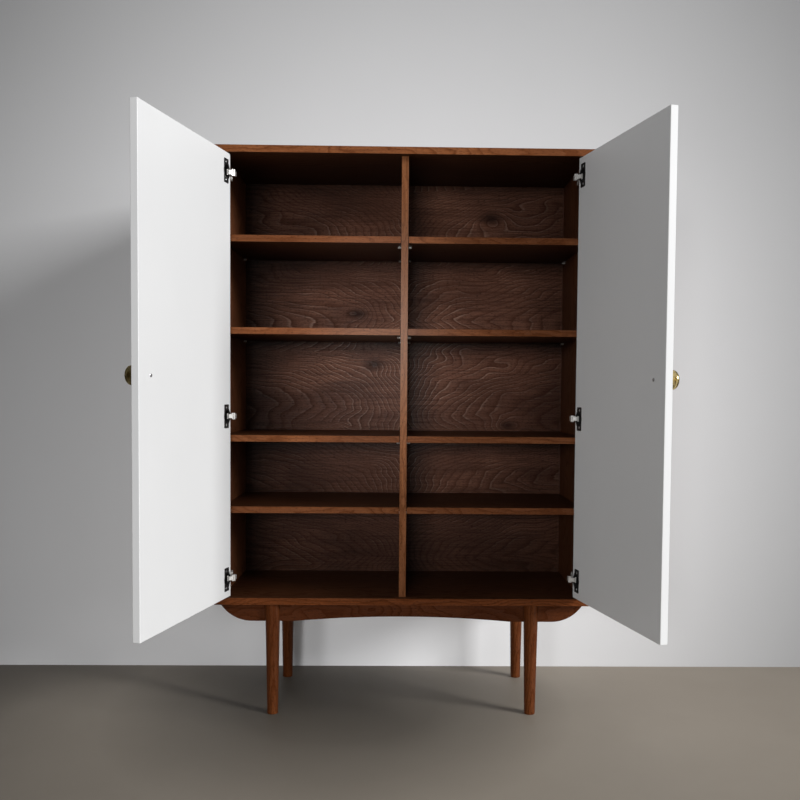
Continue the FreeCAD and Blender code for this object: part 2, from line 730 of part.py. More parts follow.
def make_knobs():
    """Turned brass knobs: a foot, a neck and a domed cap, held by a screw from inside the door."""
    screw_long = S["door_thick"] + S["knob_bore_deep"] - S["screw_play"]
    screw = pan_screw("knob_screw_pattern", screw_long)
    # The cap's crown and its rounded shoulder are two arcs that meet smoothly
    dome = S["knob_reach"] - S["knob_rim"]
    shoulder = S["knob_shoulder"]
    inset = S["knob_radius"] - shoulder
    crown = (inset * inset + dome * dome - shoulder * shoulder) / (2 * (dome - shoulder))
    meet_x = crown * inset / (crown - shoulder)
    meet_z = S["knob_reach"] - crown + root(crown * crown - meet_x * meet_x)
    crown_angle = math.asin(meet_x.value / crown.value)
    shoulder_angle = math.pi / 2 - crown_angle
    crown_middle = (crown * math.sin(crown_angle / 2),
                    S["knob_reach"] - crown + crown * math.cos(crown_angle / 2))
    shoulder_middle = (inset + shoulder * math.cos(shoulder_angle / 2),
                       S["knob_rim"] + shoulder * math.sin(shoulder_angle / 2))
    for name, side in SIDES.items():
        x, z = knob_spot(side)
        body = new_body("knob_" + name)
        profile = new_sketch(body, "Y")
        draw_outline(profile, [
            (ZERO, ZERO), (S["knob_foot"], ZERO), (S["knob_foot"], S["knob_foot_high"] / 2),
            (S["knob_neck"], S["knob_foot_high"]), (S["knob_neck"], S["knob_rim"] - S["knob_neck"]),
            (S["knob_radius"] - S["knob_lip"], S["knob_rim"] - S["knob_lip"]),
            (S["knob_radius"], S["knob_rim"]), (meet_x, meet_z), (ZERO, S["knob_reach"])],
            {6: (shoulder, shoulder_middle), 7: (crown, crown_middle)})
        revolve(body, profile)
        bore = new_sketch(body, "Z")
        draw_circles(bore, [(ZERO, ZERO)], S["machine_radius"])
        pocket(body, bore, S["knob_bore_deep"])
        stand = FreeCAD.Placement(vector(x, ZERO, z), FACING_FRONT)
        finish(body, body.Label, door_place(side) * stand)
        spots = [(x, S["door_thick"], z, FACING_BACK)]
        finish_group("knob_screw_" + name, copies(screw, spots), door_place(side))


# Hinges

def flange_corners(side, x, z):
    """The flange: straight toward the door's middle, webbed out to the cup toward its hung edge."""
    end = S["cup_screw_pitch"] / 2 + S["flange_end"]
    start = S["cup_screw_pitch"] / 2 - S["web_drop"]
    outline = [(-S["flange_far"], -end), (S["flange_near"], -end), (S["flange_near"], -start),
               (S["web_near"], -S["web_half"]), (S["web_near"], S["web_half"]),
               (S["flange_near"], start), (S["flange_near"], end), (-S["flange_far"], end)]
    return [(x + side * out, z + up) for out, up in outline]


def make_cups():
    """Hinge cups: a pressed cup sunk in the door and a flange on the door's inner face."""
    screw = countersunk_screw("cup_screw_pattern", S["cup_screw_long"])
    outer_face = S["door_thick"] + S["flange_thick"]
    for name, side in SIDES.items():
        for level_name, (x, z) in zip(hinge_levels, cup_spots(side)):
            body = new_body(f"hinge_cup_{name}_{level_name}")
            wings = new_sketch(body, "Y", S["door_thick"])
            draw_outline(wings, flange_corners(side, x, z))
            pad(body, wings, S["flange_thick"])
            ease_edges(body, S["flange_corner"], lambda edge: along(edge, FreeCAD.Vector(0, 1, 0)))
            rim = new_sketch(body, "Y", S["door_thick"])
            draw_circles(rim, [(x, z)], S["cup_radius"] + S["cup_rim"])
            pad(body, rim, S["flange_thick"])
            barrel = new_sketch(body, "Y", S["door_thick"])
            draw_circles(barrel, [(x, z)], S["cup_radius"])
            pad(body, barrel, S["cup_deep"], toward=-1)
            hollow = new_sketch(body, "Y", outer_face)
            draw_circles(hollow, [(x, z)], S["cup_radius"] - S["cup_wall"])
            pocket(body, hollow, S["cup_deep"] + S["flange_thick"] - S["cup_wall"], toward=-1)
            holes = new_sketch(body, "Y", outer_face)
            own_screws = [spot for spot in cup_screw_spots(side)
                          if abs(spot[1].value - z.value) < S["cup_screw_pitch"].value]
            draw_circles(holes, own_screws, S["screw_head"])
            pocket(body, holes, S["flange_thick"], toward=-1)
            finish(body, body.Label, door_place(side))
        spots = [(x, outer_face, z, FACING_BACK) for x, z in cup_screw_spots(side)]
        finish_group("cup_screws_" + name, copies(screw, spots), door_place(side))


def across(side, distance):
    """X of a point that lies a distance in from the side panel's inner face."""
    return side * (inner_half - distance)


def make_arms():
    """Cranked hinge arms: a bar on the plate's rib that steps in and forward to the nose pin."""
    rear_in = S["rib_thick"]
    front_in = rear_in + S["arm_thick"]
    neck = S["neck_wide"] / 2
    for name, side in SIDES.items():
        for level_name, z in hinge_levels.items():
            body = new_body(f"hinge_arm_{name}_{level_name}")
            outline = new_sketch(body, "Z", z)
            corners = [
                (rear_in, S["arm_rear"]), (front_in, S["arm_rear"]),
                (front_in, S["arm_turn"] + S["crank_deep"]),
                (S["nose_in"] + neck, S["arm_turn"] + S["crank_deep"]),
                (S["nose_in"] + neck, S["nose_back"]), (S["nose_in"] - neck, S["nose_back"]),
                (S["nose_in"] - neck, S["arm_turn"]), (rear_in, S["arm_turn"])]
            draw_outline(outline, [(across(side, d), y) for d, y in corners])
            pad(body, outline, S["arm_high"], toward=0)
            nose = new_sketch(body, "Z", z)
            draw_circles(nose, [(across(side, S["nose_in"]), S["nose_back"])], S["nose_radius"])
            pad(body, nose, S["arm_high"], toward=0)
            eye = new_sketch(body, "Z", z)
            draw_circles(eye, [(across(side, S["nose_in"]), S["nose_back"])], S["pin_radius"])
            pocket(body, eye, S["arm_high"], toward=0)
            holes = new_sketch(body, "X", across(side, front_in))
            draw_circles(holes, [(y, z) for y in arm_screw_steps()], S["machine_radius"])
            pocket(body, holes, S["arm_thick"], toward=side)
            finish(body, body.Label, carcass_place())


def arm_screw_steps():
    return [S["arm_screw_front"], S["arm_screw_rear"]]


def make_plates():
    """Mounting plates: wings screwed to the side panel and a raised rib under the arm."""
    for name, side in SIDES.items():
        plates = []
        for level_name, z in hinge_levels.items():
            body = new_body(f"hinge_plate_{name}_{level_name}")
            wings = new_sketch(body, "X", side * inner_half)
            half_high = S["plate_pitch"] / 2 + S["plate_end"]
            draw_rectangle(wings, S["plate_mid"] - S["plate_wide"] / 2, z - half_high,
                           S["plate_mid"] + S["plate_wide"] / 2, z + half_high)
            pad(body, wings, S["plate_thick"], toward=-side)
            ease_edges(body, S["plate_wide"] / 3, lambda edge: along(edge, FreeCAD.Vector(1, 0, 0)))
            rib = new_sketch(body, "X", side * inner_half)
            draw_rectangle(rib, S["plate_mid"] - S["rib_long"] / 2, z - S["rib_high"] / 2,
                           S["plate_mid"] + S["rib_long"] / 2, z + S["rib_high"] / 2)
            pad(body, rib, S["rib_thick"], toward=-side)
            holes = new_sketch(body, "X", across(side, S["plate_thick"]))
            draw_circles(holes, [(S["plate_mid"], z + S["plate_pitch"] * up / 2) for up in (-1, 1)],
                         S["screw_head"])
            pocket(body, holes, S["plate_thick"], toward=side)
            threads = new_sketch(body, "X", across(side, S["rib_thick"]))
            draw_circles(threads, [(y, z) for y in arm_screw_steps()], S["machine_radius"])
            pocket(body, threads, S["rib_thick"], toward=side)
            plates.append(body)
        group = doc.addObject("Part::Compound", "hinge_plates_" + name)
        group.Links = plates
        doc.recompute()
        finish(group, "hinge_plates_" + name, carcass_place())


def make_hinge_fastenings():
    plate_screw = countersunk_screw("plate_screw_pattern", S["plate_screw_long"])
    arm_screw = pan_screw("arm_screw_pattern", S["arm_thick"] + S["rib_thick"] - S["screw_play"])
    pin_long = S["arm_high"] + 2 * (S["ear_play"] + S["link_ear"])
    pin = rod("hinge_pin_pattern", S["pin_radius"], pin_long)
    plate_spots, arm_spots, pin_spots = [], [], []
    for side, inward in ((-1, FACING_RIGHT), (1, FACING_LEFT)):
        for z in hinge_levels.values():
            for up in (-1, 1):
                level = z + S["plate_pitch"] * up / 2
                plate_spots.append((across(side, S["plate_thick"]), S["plate_mid"], level, inward))
            for y in arm_screw_steps():
                arm_spots.append((across(side, S["rib_thick"] + S["arm_thick"]), y, z, inward))
            pin_spots.append((across(side, S["nose_in"]), S["nose_back"], z - pin_long / 2, FACING_UP))
    finish_group("hinge_plate_screws", copies(plate_screw, plate_spots), carcass_place())
    finish_group("hinge_arm_screws", copies(arm_screw, arm_spots), carcass_place())
    finish_group("hinge_pins", copies(pin, pin_spots), carcass_place())


def band(start, stop, side):
    """Corners of a straight strip of the link, drawn between two of its bend points."""
    run_in, run_back = stop[0] - start[0], stop[1] - start[1]
    length = root(run_in * run_in + run_back * run_back)
    off_in = S["link_thick"] / 2 * run_back / length
    off_back = S["link_thick"] / 2 * run_in / length
    corners = [(start[0] + off_in, start[1] - off_back), (stop[0] + off_in, stop[1] - off_back),
               (stop[0] - off_in, stop[1] + off_back), (start[0] - off_in, start[1] + off_back)]
    return [(across(side, d), y) for d, y in corners]


def make_links():
    """Hinge links, drawn with the door closed: ears on the nose pin, a waist and a rolled end."""
    nose = (S["nose_in"], S["nose_back"])
    knee = (S["knee_in"], S["knee_back"])
    roll = (S["roll_in"], S["roll_back"])
    ear_outer = S["arm_high"] + 2 * (S["ear_play"] + S["link_ear"])
    ear_gap = S["arm_high"] + 2 * S["ear_play"]
    waist_start_share = 0.42
    shoulder = (nose[0] + (knee[0] - nose[0]) * waist_start_share,
                nose[1] + (knee[1] - nose[1]) * waist_start_share)
    for name, side in SIDES.items():
        for level_name, z in hinge_levels.items():
            body = new_body(f"hinge_link_{name}_{level_name}")
            strips = [(nose, shoulder, ear_outer), (shoulder, knee, S["link_waist"]),
                      (knee, roll, S["link_waist"])]
            for start, stop, high in strips:
                sketch = new_sketch(body, "Z", z)
                draw_outline(sketch, band(start, stop, side))
                pad(body, sketch, high, toward=0)
            rounds = [(nose, S["ear_radius"], ear_outer), (knee, S["link_thick"] / 2, S["link_waist"]),
                      (roll, S["roll_radius"], S["link_roll_high"])]
            for centre, radius, high in rounds:
                sketch = new_sketch(body, "Z", z)
                draw_circles(sketch, [(across(side, centre[0]), centre[1])], radius)
                pad(body, sketch, high, toward=0)
            spot = [(across(side, nose[0]), nose[1])]
            gap = new_sketch(body, "Z", z)
            draw_circles(gap, spot, S["nose_radius"] + S["nose_play"])
            pocket(body, gap, ear_gap, toward=0)
            eye = new_sketch(body, "Z", z)
            draw_circles(eye, spot, S["pin_radius"] + S["pin_play"])
            pocket(body, eye, ear_outer, toward=0)
            finish(body, body.Label, link_place(side))


make_top_and_bottom()
make_sides()
make_divider()
make_back()
make_shelves()
make_pegs()
make_dowels()
make_legs()
make_aprons()
make_rails()
make_doors()
make_knobs()
make_cups()
make_plates()
make_arms()
make_links()
make_hinge_fastenings()
doc.recompute()

for item in doc.Objects:
    if any(state in item.State for state in ("Invalid", "Error")):
        raise RuntimeError(f"{item.Label} failed: {item.State}")
for piece in nodes:
    if piece.Shape.isNull() or not piece.Shape.isValid():
        raise RuntimeError(f"{piece.Label} has no valid shape")
for piece in nodes:
    piece.Shape.exportStep(f"parts/{piece.Label}.step")

total = sum(len(piece.Shape.Solids) for piece in nodes)
print(f"{len(nodes)} nodes, {total} solids, front plane at y = {front_shift.value:.3f}")
for side_name, side_sign in SIDES.items():
    turning_axis = vector(across(side_sign, S["pivot_in"]), S["pivot_back"] + front_shift, 0)
    link_axis = vector(across(side_sign, S["nose_in"]), S["nose_back"] + front_shift, 0)
    print(side_name, "door axis", turning_axis, "link axis", link_axis)
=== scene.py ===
# %% [markdown]
# # A walnut highboard with white doors
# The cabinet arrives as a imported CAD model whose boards, doors and hinges already have their exact
# places. This notebook dresses it: camera and light first, then one finish after another, and at
# last the small parts that deserve a finer mesh than a CAD solid gives. Nothing is moved.

# %% Load the cabinet
import math

import bmesh
import bpy
import numpy
from mathutils import Matrix, Vector


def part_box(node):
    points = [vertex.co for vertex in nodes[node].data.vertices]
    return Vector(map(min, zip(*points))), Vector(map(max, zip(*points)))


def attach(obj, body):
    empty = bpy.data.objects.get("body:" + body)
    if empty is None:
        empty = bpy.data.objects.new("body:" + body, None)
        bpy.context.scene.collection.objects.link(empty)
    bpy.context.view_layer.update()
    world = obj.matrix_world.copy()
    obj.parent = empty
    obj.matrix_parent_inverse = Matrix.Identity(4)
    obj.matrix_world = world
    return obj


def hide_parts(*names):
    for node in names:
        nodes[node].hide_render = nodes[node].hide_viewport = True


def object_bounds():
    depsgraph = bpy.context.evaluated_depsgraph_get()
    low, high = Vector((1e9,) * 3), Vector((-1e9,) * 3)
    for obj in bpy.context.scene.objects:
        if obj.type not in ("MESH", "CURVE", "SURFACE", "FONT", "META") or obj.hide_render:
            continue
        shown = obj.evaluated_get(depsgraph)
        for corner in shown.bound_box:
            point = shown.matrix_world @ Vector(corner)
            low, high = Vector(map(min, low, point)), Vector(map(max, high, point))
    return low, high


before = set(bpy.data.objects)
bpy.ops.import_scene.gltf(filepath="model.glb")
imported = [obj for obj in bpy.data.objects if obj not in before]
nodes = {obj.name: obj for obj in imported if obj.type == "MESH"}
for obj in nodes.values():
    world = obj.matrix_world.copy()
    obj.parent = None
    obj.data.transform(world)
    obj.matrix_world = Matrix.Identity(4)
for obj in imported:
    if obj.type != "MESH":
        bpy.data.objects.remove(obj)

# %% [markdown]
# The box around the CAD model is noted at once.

cad_low, cad_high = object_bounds()
print(len(nodes), "nodes; box", [round(v, 3) for v in cad_high - cad_low])

# %% [markdown]
# ## The camera
# A picture of furniture is usually taken level and from the middle of its height, with the lens
# shifted so that uprights stay upright. Position, small turns and shift below were worked out from
# the corners of the boards. A lens in millimetres means little without the sensor's width, so the
# focal length is kept in picture widths and multiplied by the sensor's 36 mm.

# %% Camera
PICTURE, SENSOR_MM = 800, 36
FOCAL_PIXELS = 915.86
CENTRE_PIXELS = Vector((421.74, 430.55))
CAMERA_AT = Vector((0.00408, -2.38591, 0.87578))
YAW, PITCH, ROLL = 0.018372, -0.044365, 0.008403

camera = bpy.data.cameras.new("view")
camera.sensor_width = SENSOR_MM
camera.lens = FOCAL_PIXELS / PICTURE * SENSOR_MM
camera.shift_x = 0.5 - CENTRE_PIXELS.x / PICTURE
camera.shift_y = CENTRE_PIXELS.y / PICTURE - 0.5
ahead = Vector((math.sin(YAW) * math.cos(PITCH), math.cos(YAW) * math.cos(PITCH), math.sin(PITCH)))
level_right = Vector((math.cos(YAW), -math.sin(YAW), 0))
level_up = level_right.cross(ahead)
right = math.cos(ROLL) * level_right + math.sin(ROLL) * level_up
up = right.cross(ahead)
turn = Matrix((right, up, -ahead)).transposed().to_4x4()
camera_object = bpy.data.objects.new("view", camera)
camera_object.matrix_world = Matrix.Translation(CAMERA_AT) @ turn
bpy.context.scene.collection.objects.link(camera_object)
bpy.context.scene.camera = camera_object
print("lens", round(camera.lens, 2), "mm, shift", round(camera.shift_x, 4), round(camera.shift_y, 4))

# %% [markdown]
# ## Recipes for materials
# Every finish is a small tree of shader nodes. Writing such a tree takes many lines that say the
# same thing, so a helper keeps it short: it makes a node, sets what is fixed and joins what is
# given as another node's output. It also knows the few sums that many finishes share, such as how
# far a place is from a middle. The world uses it too.

# %% A helper for node trees
class Tree:
    """Shader nodes in the making: add() returns a node whose inputs are values or other outputs."""

    def __init__(self, tree):
        self.tree = tree

    def add(self, kind, inputs=None, **settings):
        node = self.tree.nodes.new("ShaderNode" + kind)
        for key, value in settings.items():
            setattr(node, key, value)
        self.feed(node, inputs or {})
        return node

    def feed(self, node, inputs):
        for key, value in inputs.items():
            if isinstance(value, bpy.types.NodeSocket):
                self.tree.links.new(value, node.inputs[key])
            else:
                node.inputs[key].default_value = value

    def maths(self, operation, first, second=0.0):
        return self.add("Math", {0: first, 1: second}, operation=operation).outputs[0]

    def plus(self, first, second):
        return self.maths("ADD", first, second)

    def times(self, first, second):
        return self.maths("MULTIPLY", first, second)

    def bell(self, squares):
        """1 where squares is 0, and less and less with it, like the side of a bell."""
        return self.maths("POWER", 1 / math.e, squares)

    def vector(self, operation, first, second):
        return self.add("VectorMath", {0: first, 1: second}, operation=operation).outputs["Vector"]

    def measure(self, operation, first, second=(0, 0, 0)):
        """Vector arithmetic that ends in a number, such as a length."""
        return self.add("VectorMath", {0: first, 1: second}, operation=operation).outputs["Value"]

    def axes(self, vector):
        return self.add("SeparateXYZ", {0: vector}).outputs

    def mapped(self, vector, scale=(1, 1, 1), location=(0, 0, 0), rotation=(0, 0, 0)):
        inputs = {"Vector": vector, "Scale": scale, "Location": location, "Rotation": rotation}
        return self.add("Mapping", inputs).outputs["Vector"]

    def away_from(self, where, centre, radii):
        """The distance from a centre, counted in the radii of an oval around it."""
        location = tuple(-c / r for c, r in zip(centre, radii))
        return self.measure("LENGTH", self.mapped(where, tuple(1 / r for r in radii), location))

    def noise(self, where, scale, detail=2.0, roughness=0.5, out="Fac"):
        inputs = {"Vector": where, "Scale": scale, "Detail": detail, "Roughness": roughness}
        return self.add("TexNoise", inputs).outputs[out]

    def ramp(self, value, stops):
        """Maps a number to tones by stops of (place, tone); a tone is a grey or a colour."""
        node = self.add("ValToRGB", {"Fac": value})
        band = node.color_ramp
        while len(band.elements) < len(stops):
            band.elements.new(0.5)
        for element, (place, tone) in zip(band.elements, stops):
            element.position = place
            element.color = (*tone, 1) if isinstance(tone, tuple) else (tone, tone, tone, 1)
        return node.outputs["Color"]

    def mix(self, factor, first, second, blend="MIX"):
        node = self.add("Mix", {"Factor": factor}, data_type="RGBA", blend_type=blend)
        for name, value in (("A", first), ("B", second)):
            socket = next(s for s in node.inputs if s.name == name and s.type == "RGBA")
            if isinstance(value, bpy.types.NodeSocket):
                self.tree.links.new(value, socket)
            else:
                socket.default_value = (*value, 1)
        return next(s for s in node.outputs if s.type == "RGBA")


print("tree helper ready")

# %% [markdown]
# A recipe is the tree of one material: it begins with a shader and an output. Positions come from
# the Object coordinates, in metres, so a grain line has the same width on every board. When the
# recipe is done, dress() gives it to CAD nodes; only their material slots change.

# %% Recipes and dressing
class Recipe(Tree):
    """A material in the making."""

    def __init__(self, name):
        self.material = bpy.data.materials.new(name)
        self.material.use_nodes = True
        super().__init__(self.material.node_tree)
        self.tree.nodes.clear()
        self.shader = self.add("BsdfPrincipled")
        self.output = self.add("OutputMaterial", {"Surface": self.shader.outputs["BSDF"]})
        self.place = self.add("TexCoord").outputs["Object"]

    def bump(self, height, distance, strength):
        inputs = {"Height": height, "Distance": distance, "Strength": strength}
        self.feed(self.shader, {"Normal": self.add("Bump", inputs).outputs["Normal"]})

    def finish(self, **sockets):
        self.feed(self.shader, {key.replace("_", " "): value for key, value in sockets.items()})
        return self.material


def dress(names, material):
    """Gives CAD nodes a finish, in every material slot they have."""
    for name in names:
        mesh = nodes[name].data
        if not mesh.materials:
            mesh.materials.append(material)
        for index in range(len(mesh.materials)):
            mesh.materials[index] = material
    print(material.name, "on", len(names), "nodes")


# %% [markdown]
# ## Floor and backdrop
# The cabinet stands on a plain pale floor in front of a plain wall, set as far behind it as its feet
# and shadows ask. A faint cloud of tone keeps the plaster and the floor from looking like paper. A
# plane could hide the cabinet from a view behind it, so each plane is clear where the camera meets
# its back.

# %% Plaster
WALL_BEHIND, ROOM_HALF, ROOM_HIGH = 0.07, 9.0, 4.0
wall_y = cad_high.y + WALL_BEHIND


def stage_plane(name, corners, material):
    mesh = bpy.data.meshes.new(name)
    mesh.from_pydata(corners, [], [(0, 1, 2, 3)])
    mesh.materials.append(material)
    plane = bpy.data.objects.new(name, mesh)
    bpy.context.scene.collection.objects.link(plane)
    return plane


def plaster(name, dark, light, roughness, cloud, keep):
    """Faintly clouded plaster; keep gives the share of its tone that stays at a place, which paints
    light and shade onto it.
    """
    recipe = Recipe(name)
    clouds = recipe.noise(recipe.place, cloud, detail=5, roughness=0.6)
    recipe.bump(recipe.noise(recipe.place, 160, detail=4), distance=0.0004, strength=0.3)
    tone = recipe.ramp(clouds, [(0.3, dark), (0.7, light)])
    behind = recipe.times(recipe.add("NewGeometry").outputs["Backfacing"],
                          recipe.add("LightPath").outputs["Is Camera Ray"])
    clear = recipe.add("MixShader", {0: behind, 1: recipe.shader.outputs["BSDF"],
                                     2: recipe.add("BsdfTransparent").outputs["BSDF"]})
    recipe.feed(recipe.output, {"Surface": clear.outputs[0]})
    # Painted light and shade: the tone is multiplied by the share that keep gives at each place.
    kept = recipe.mix(1.0, tone, keep(recipe), "MULTIPLY")
    return recipe.finish(Base_Color=kept, Roughness=roughness, Specular_IOR_Level=0.2)


print("wall stands at y =", round(wall_y, 3))

# %% [markdown]
# Away from the cabinet both planes grow slowly darker, as they do where a studio's light ends:
# painted light, a falloff painted into their tone. More lamps could do that, but each would also
# reach into the compartments, so the tone itself falls off.
# The floor's falls with the distance from a spot beside the feet, and a painted shadow darkens it
# once more under the cabinet.

# %% Floor
FLOOR_CENTRE, FLOOR_REACH = (0.35, 0, 0), (2.0, 2.0, 2.0)
FLOOR_PAINTED_FALLOFF = [(0.0, 1.0), (0.25, 0.95), (0.45, 0.85), (0.60, 0.73), (0.70, 0.57), (0.80, 0.45),
              (1.0, 0.25)]
# A painted shadow under the cabinet: the floor keeps only 0.36 of its tone in its middle.
PAINTED_SHADOW_CENTRE, PAINTED_SHADOW_REACH = (-0.17, 0.18, 0), (0.92, 1.10, 2.0)
PAINTED_SHADOW_STOPS = [(0.0, 0.36), (0.3, 0.42), (0.5, 0.66), (0.7, 1.0)]


def floor_painted_light(recipe):
    """Painted light: less with the distance, and a painted shadow where the cabinet keeps the light
    away.
    """
    fade = recipe.ramp(recipe.away_from(recipe.place, FLOOR_CENTRE, FLOOR_REACH), FLOOR_PAINTED_FALLOFF)
    under = recipe.ramp(recipe.away_from(recipe.place, PAINTED_SHADOW_CENTRE, PAINTED_SHADOW_REACH), PAINTED_SHADOW_STOPS)
    return recipe.mix(1.0, fade, under, "MULTIPLY")


floor_finish = plaster("floor finish", (0.31, 0.270, 0.222), (0.355, 0.312, 0.26),
                       roughness=0.55, cloud=1.1, keep=floor_painted_light)
stage_plane("floor", [(-ROOM_HALF, -ROOM_HALF, 0), (ROOM_HALF, -ROOM_HALF, 0),
                      (ROOM_HALF, wall_y, 0), (-ROOM_HALF, wall_y, 0)], floor_finish)
print("floor reaches", ROOM_HALF, "m to each side")

# %% [markdown]
# The wall's tone is a bell of painted light that slants a little: lighter near its peak, darker away
# from it. Its two axes are given as slopes, one over a metre, and a place's two distances along them
# are squared and added.

# %% Wall
# Peak and gain of the painted light on the wall.
WALL_PEAK, WALL_GAIN = (-0.207, wall_y, 0.54), 1.19
WALL_SLOPES = ((0.634, 0, -0.09), (0, 0, 0.516))


def wall_painted_light(recipe):
    """Painted light: a slanting bell, brightest behind the cabinet's lower left."""
    spread = recipe.vector("SUBTRACT", recipe.place, WALL_PEAK)
    across, upward = (recipe.measure("DOT_PRODUCT", spread, slope) for slope in WALL_SLOPES)
    squares = recipe.plus(recipe.times(across, across), recipe.times(upward, upward))
    return recipe.times(recipe.bell(squares), WALL_GAIN)


wall_finish = plaster("wall finish", (0.77, 0.77, 0.78), (0.81, 0.81, 0.82),
                      roughness=0.8, cloud=0.7, keep=wall_painted_light)
stage_plane("backdrop", [(-ROOM_HALF, wall_y, 0), (ROOM_HALF, wall_y, 0),
                         (ROOM_HALF, wall_y, ROOM_HIGH), (-ROOM_HALF, wall_y, ROOM_HIGH)],
            wall_finish)
print("wall is brightest at", [round(v, 2) for v in WALL_PEAK])

# %% [markdown]
# ## Light
# A tall window well to the right lights the inner face of the left door and, past the right door,
# the wall; the right door keeps it out of the compartments. It stands far off, so that the near
# door gets hardly more of it than the far one. Two weaker ones do reach in: a far window a little to
# the left, which leaves a dark strip beside each compartment's left wall, and a bright room to the
# right, which fades toward the right door. A small one gives only gloss, the sheen in the middle of
# the back. An area lamp of power P gives a white card at distance d its own colour when P is about
# pi squared times d squared, and that is how the powers below are reckoned.

# %% Lamps
CABINET_MIDDLE, SHEEN_AT = (0, 0, 0.9), (0, 0.4, 0.9)


def lamp(name, at, aim, size, power):
    """A rectangular area lamp that faces its aim."""
    light = bpy.data.lights.new(name, "AREA")
    light.shape = "RECTANGLE"
    light.size, light.size_y = size
    light.energy = power
    holder = bpy.data.objects.new(name, light)
    holder.location = at
    holder.rotation_euler = (Vector(aim) - Vector(at)).to_track_quat("-Z", "Y").to_euler()
    bpy.context.scene.collection.objects.link(holder)
    print(name, round(power, 1), "W")
    return holder


def window(name, at, aim, size, share):
    """A lamp that gives a facing white card at its aim the stated share of full white."""
    distance_squared = (Vector(aim) - Vector(at)).length_squared
    return lamp(name, at, aim, size, share * math.pi ** 2 * distance_squared)


window("window right", (11.50, -6.16, 5.67), CABINET_MIDDLE, (4.08, 3.84), 1.07)
for name, at, size, share in (("window in front", (-1.30, -8.0, 1.68), (2.0, 1.1), 0.37),
                              ("room in front", (4.6, -6.55, 1.9), (3.8, 1.8), 0.08)):
    window(name, at, CABINET_MIDDLE, size, share).visible_glossy = False
window("sheen", (-0.28, -8.0, 1.0), SHEEN_AT, (0.5, 0.5), 0.05).visible_diffuse = False

# %% [markdown]
# The world fills the rest. As a light it is weak, but what the camera and polished metal see of it
# is brighter, or brass and nickel would mirror a dark room.

# %% World
ROOM_LIGHT, ROOM_SEEN, ROOM_TINT = 0.048, 0.12, (0.95, 0.97, 1.0, 1)

world = bpy.data.worlds.new("room")
world.use_nodes = True
room = Tree(world.node_tree)
ray = room.add("LightPath").outputs
seen_rays = ray["Is Camera Ray"]
for kind in ("Is Glossy Ray", "Is Transmission Ray"):
    seen_rays = room.maths("MAXIMUM", seen_rays, ray[kind])
strength = room.add("MapRange", {"Value": seen_rays, "To Min": ROOM_LIGHT, "To Max": ROOM_SEEN})
room.feed(world.node_tree.nodes["Background"],
          {"Color": ROOM_TINT, "Strength": strength.outputs["Result"]})
bpy.context.scene.world = world
bpy.context.scene.view_settings.view_transform = "Standard"
print("world gives", ROOM_LIGHT, "and shows", ROOM_SEEN)

# %% [markdown]
# ## Walnut
# Wood is a stack of growth rings cut by a saw. Stripes could be drawn on each board, but they would
# never meet at its edges, so the recipe builds the log: the distance from an axis that leans against
# the board's face, bent by slow noise, counts the rings, and the fraction of that count runs from
# early to late wood. Where a board cuts the log at a low angle the rings open into flames and closed
# islands without any drawing. All marks of the grain are noise drawn out along it; the table says
# how long and wide each is.

# %% Grain and log
GRAIN = {  # length and width of a mark in metres, detail and roughness of its noise
    "bends": (0.30, 0.12, 2.0, 0.45),
    "ragged": (0.05, 0.012, 3.0, 0.6),
    "fibre": (0.045, 0.0011, 4.0, 0.62),
    "fleck": (0.009, 0.0010, 1.0, 0.4),
    "patch": (0.5, 0.16, 3.0, 0.5),
    "streak": (0.14, 0.0036, 3.0, 0.65),
}
GRAIN_TURNS = {"X": (0, 0, 0), "Z": (0, math.pi / 2, 0)}
LEAN = (0.05, 0.03)


def grain(recipe, where, kind, out="Fac"):
    """One kind of mark; where has the grain along its X axis."""
    length, width, detail, roughness = GRAIN[kind]
    drawn_out = recipe.mapped(where, (1 / length, 1 / width, 1 / width))
    return recipe.noise(drawn_out, 1.0, detail, roughness, out)


def slow_bends(recipe, where, swirl):
    """How far the log is bent aside at a place."""
    bends = recipe.vector("SUBTRACT", grain(recipe, where, "bends", "Color"), (0.5, 0.5, 0.5))
    return recipe.vector("MULTIPLY", bends, (0, swirl * 4, swirl * 4))


def log_radius(recipe, where, bends):
    """The distance from the log's leaning, bent axis."""
    bent = recipe.vector("ADD", where, bends)
    across = recipe.add("CombineXYZ", {"Y": recipe.measure("DOT_PRODUCT", bent, (LEAN[0], 1, 0)),
                                       "Z": recipe.measure("DOT_PRODUCT", bent, (LEAN[1], 0, 1))})
    return recipe.measure("LENGTH", across.outputs[0])


print(len(GRAIN), "kinds of grain marks")

# %% [markdown]
# A knot is a branch that the rings flow around. It adds a few rings of its own to the count, most in
# its middle, and is dark at its heart. It is longer along the grain than across.

# %% Knots
KNOT_SHAPE, KNOT_HEART = (0.7, 1.0, 1.3), [(0.15, 1.0), (0.8, 0.0)]


def with_knots(recipe, count, knots):
    """The ring count with knots of (centre, size, rings) in it, and how near a heart is."""
    heart = None
    for centre, size, rings in knots:
        away = recipe.away_from(recipe.place, centre, tuple(size / share for share in KNOT_SHAPE))
        count = recipe.plus(count, recipe.times(recipe.bell(recipe.times(away, away)), rings))
        dark = recipe.ramp(away, KNOT_HEART)
        heart = dark if heart is None else recipe.maths("MAXIMUM", heart, dark)
    return count, heart


print("a 40 mm knot reaches", [round(40 / share) for share in KNOT_SHAPE], "mm along, across and up")
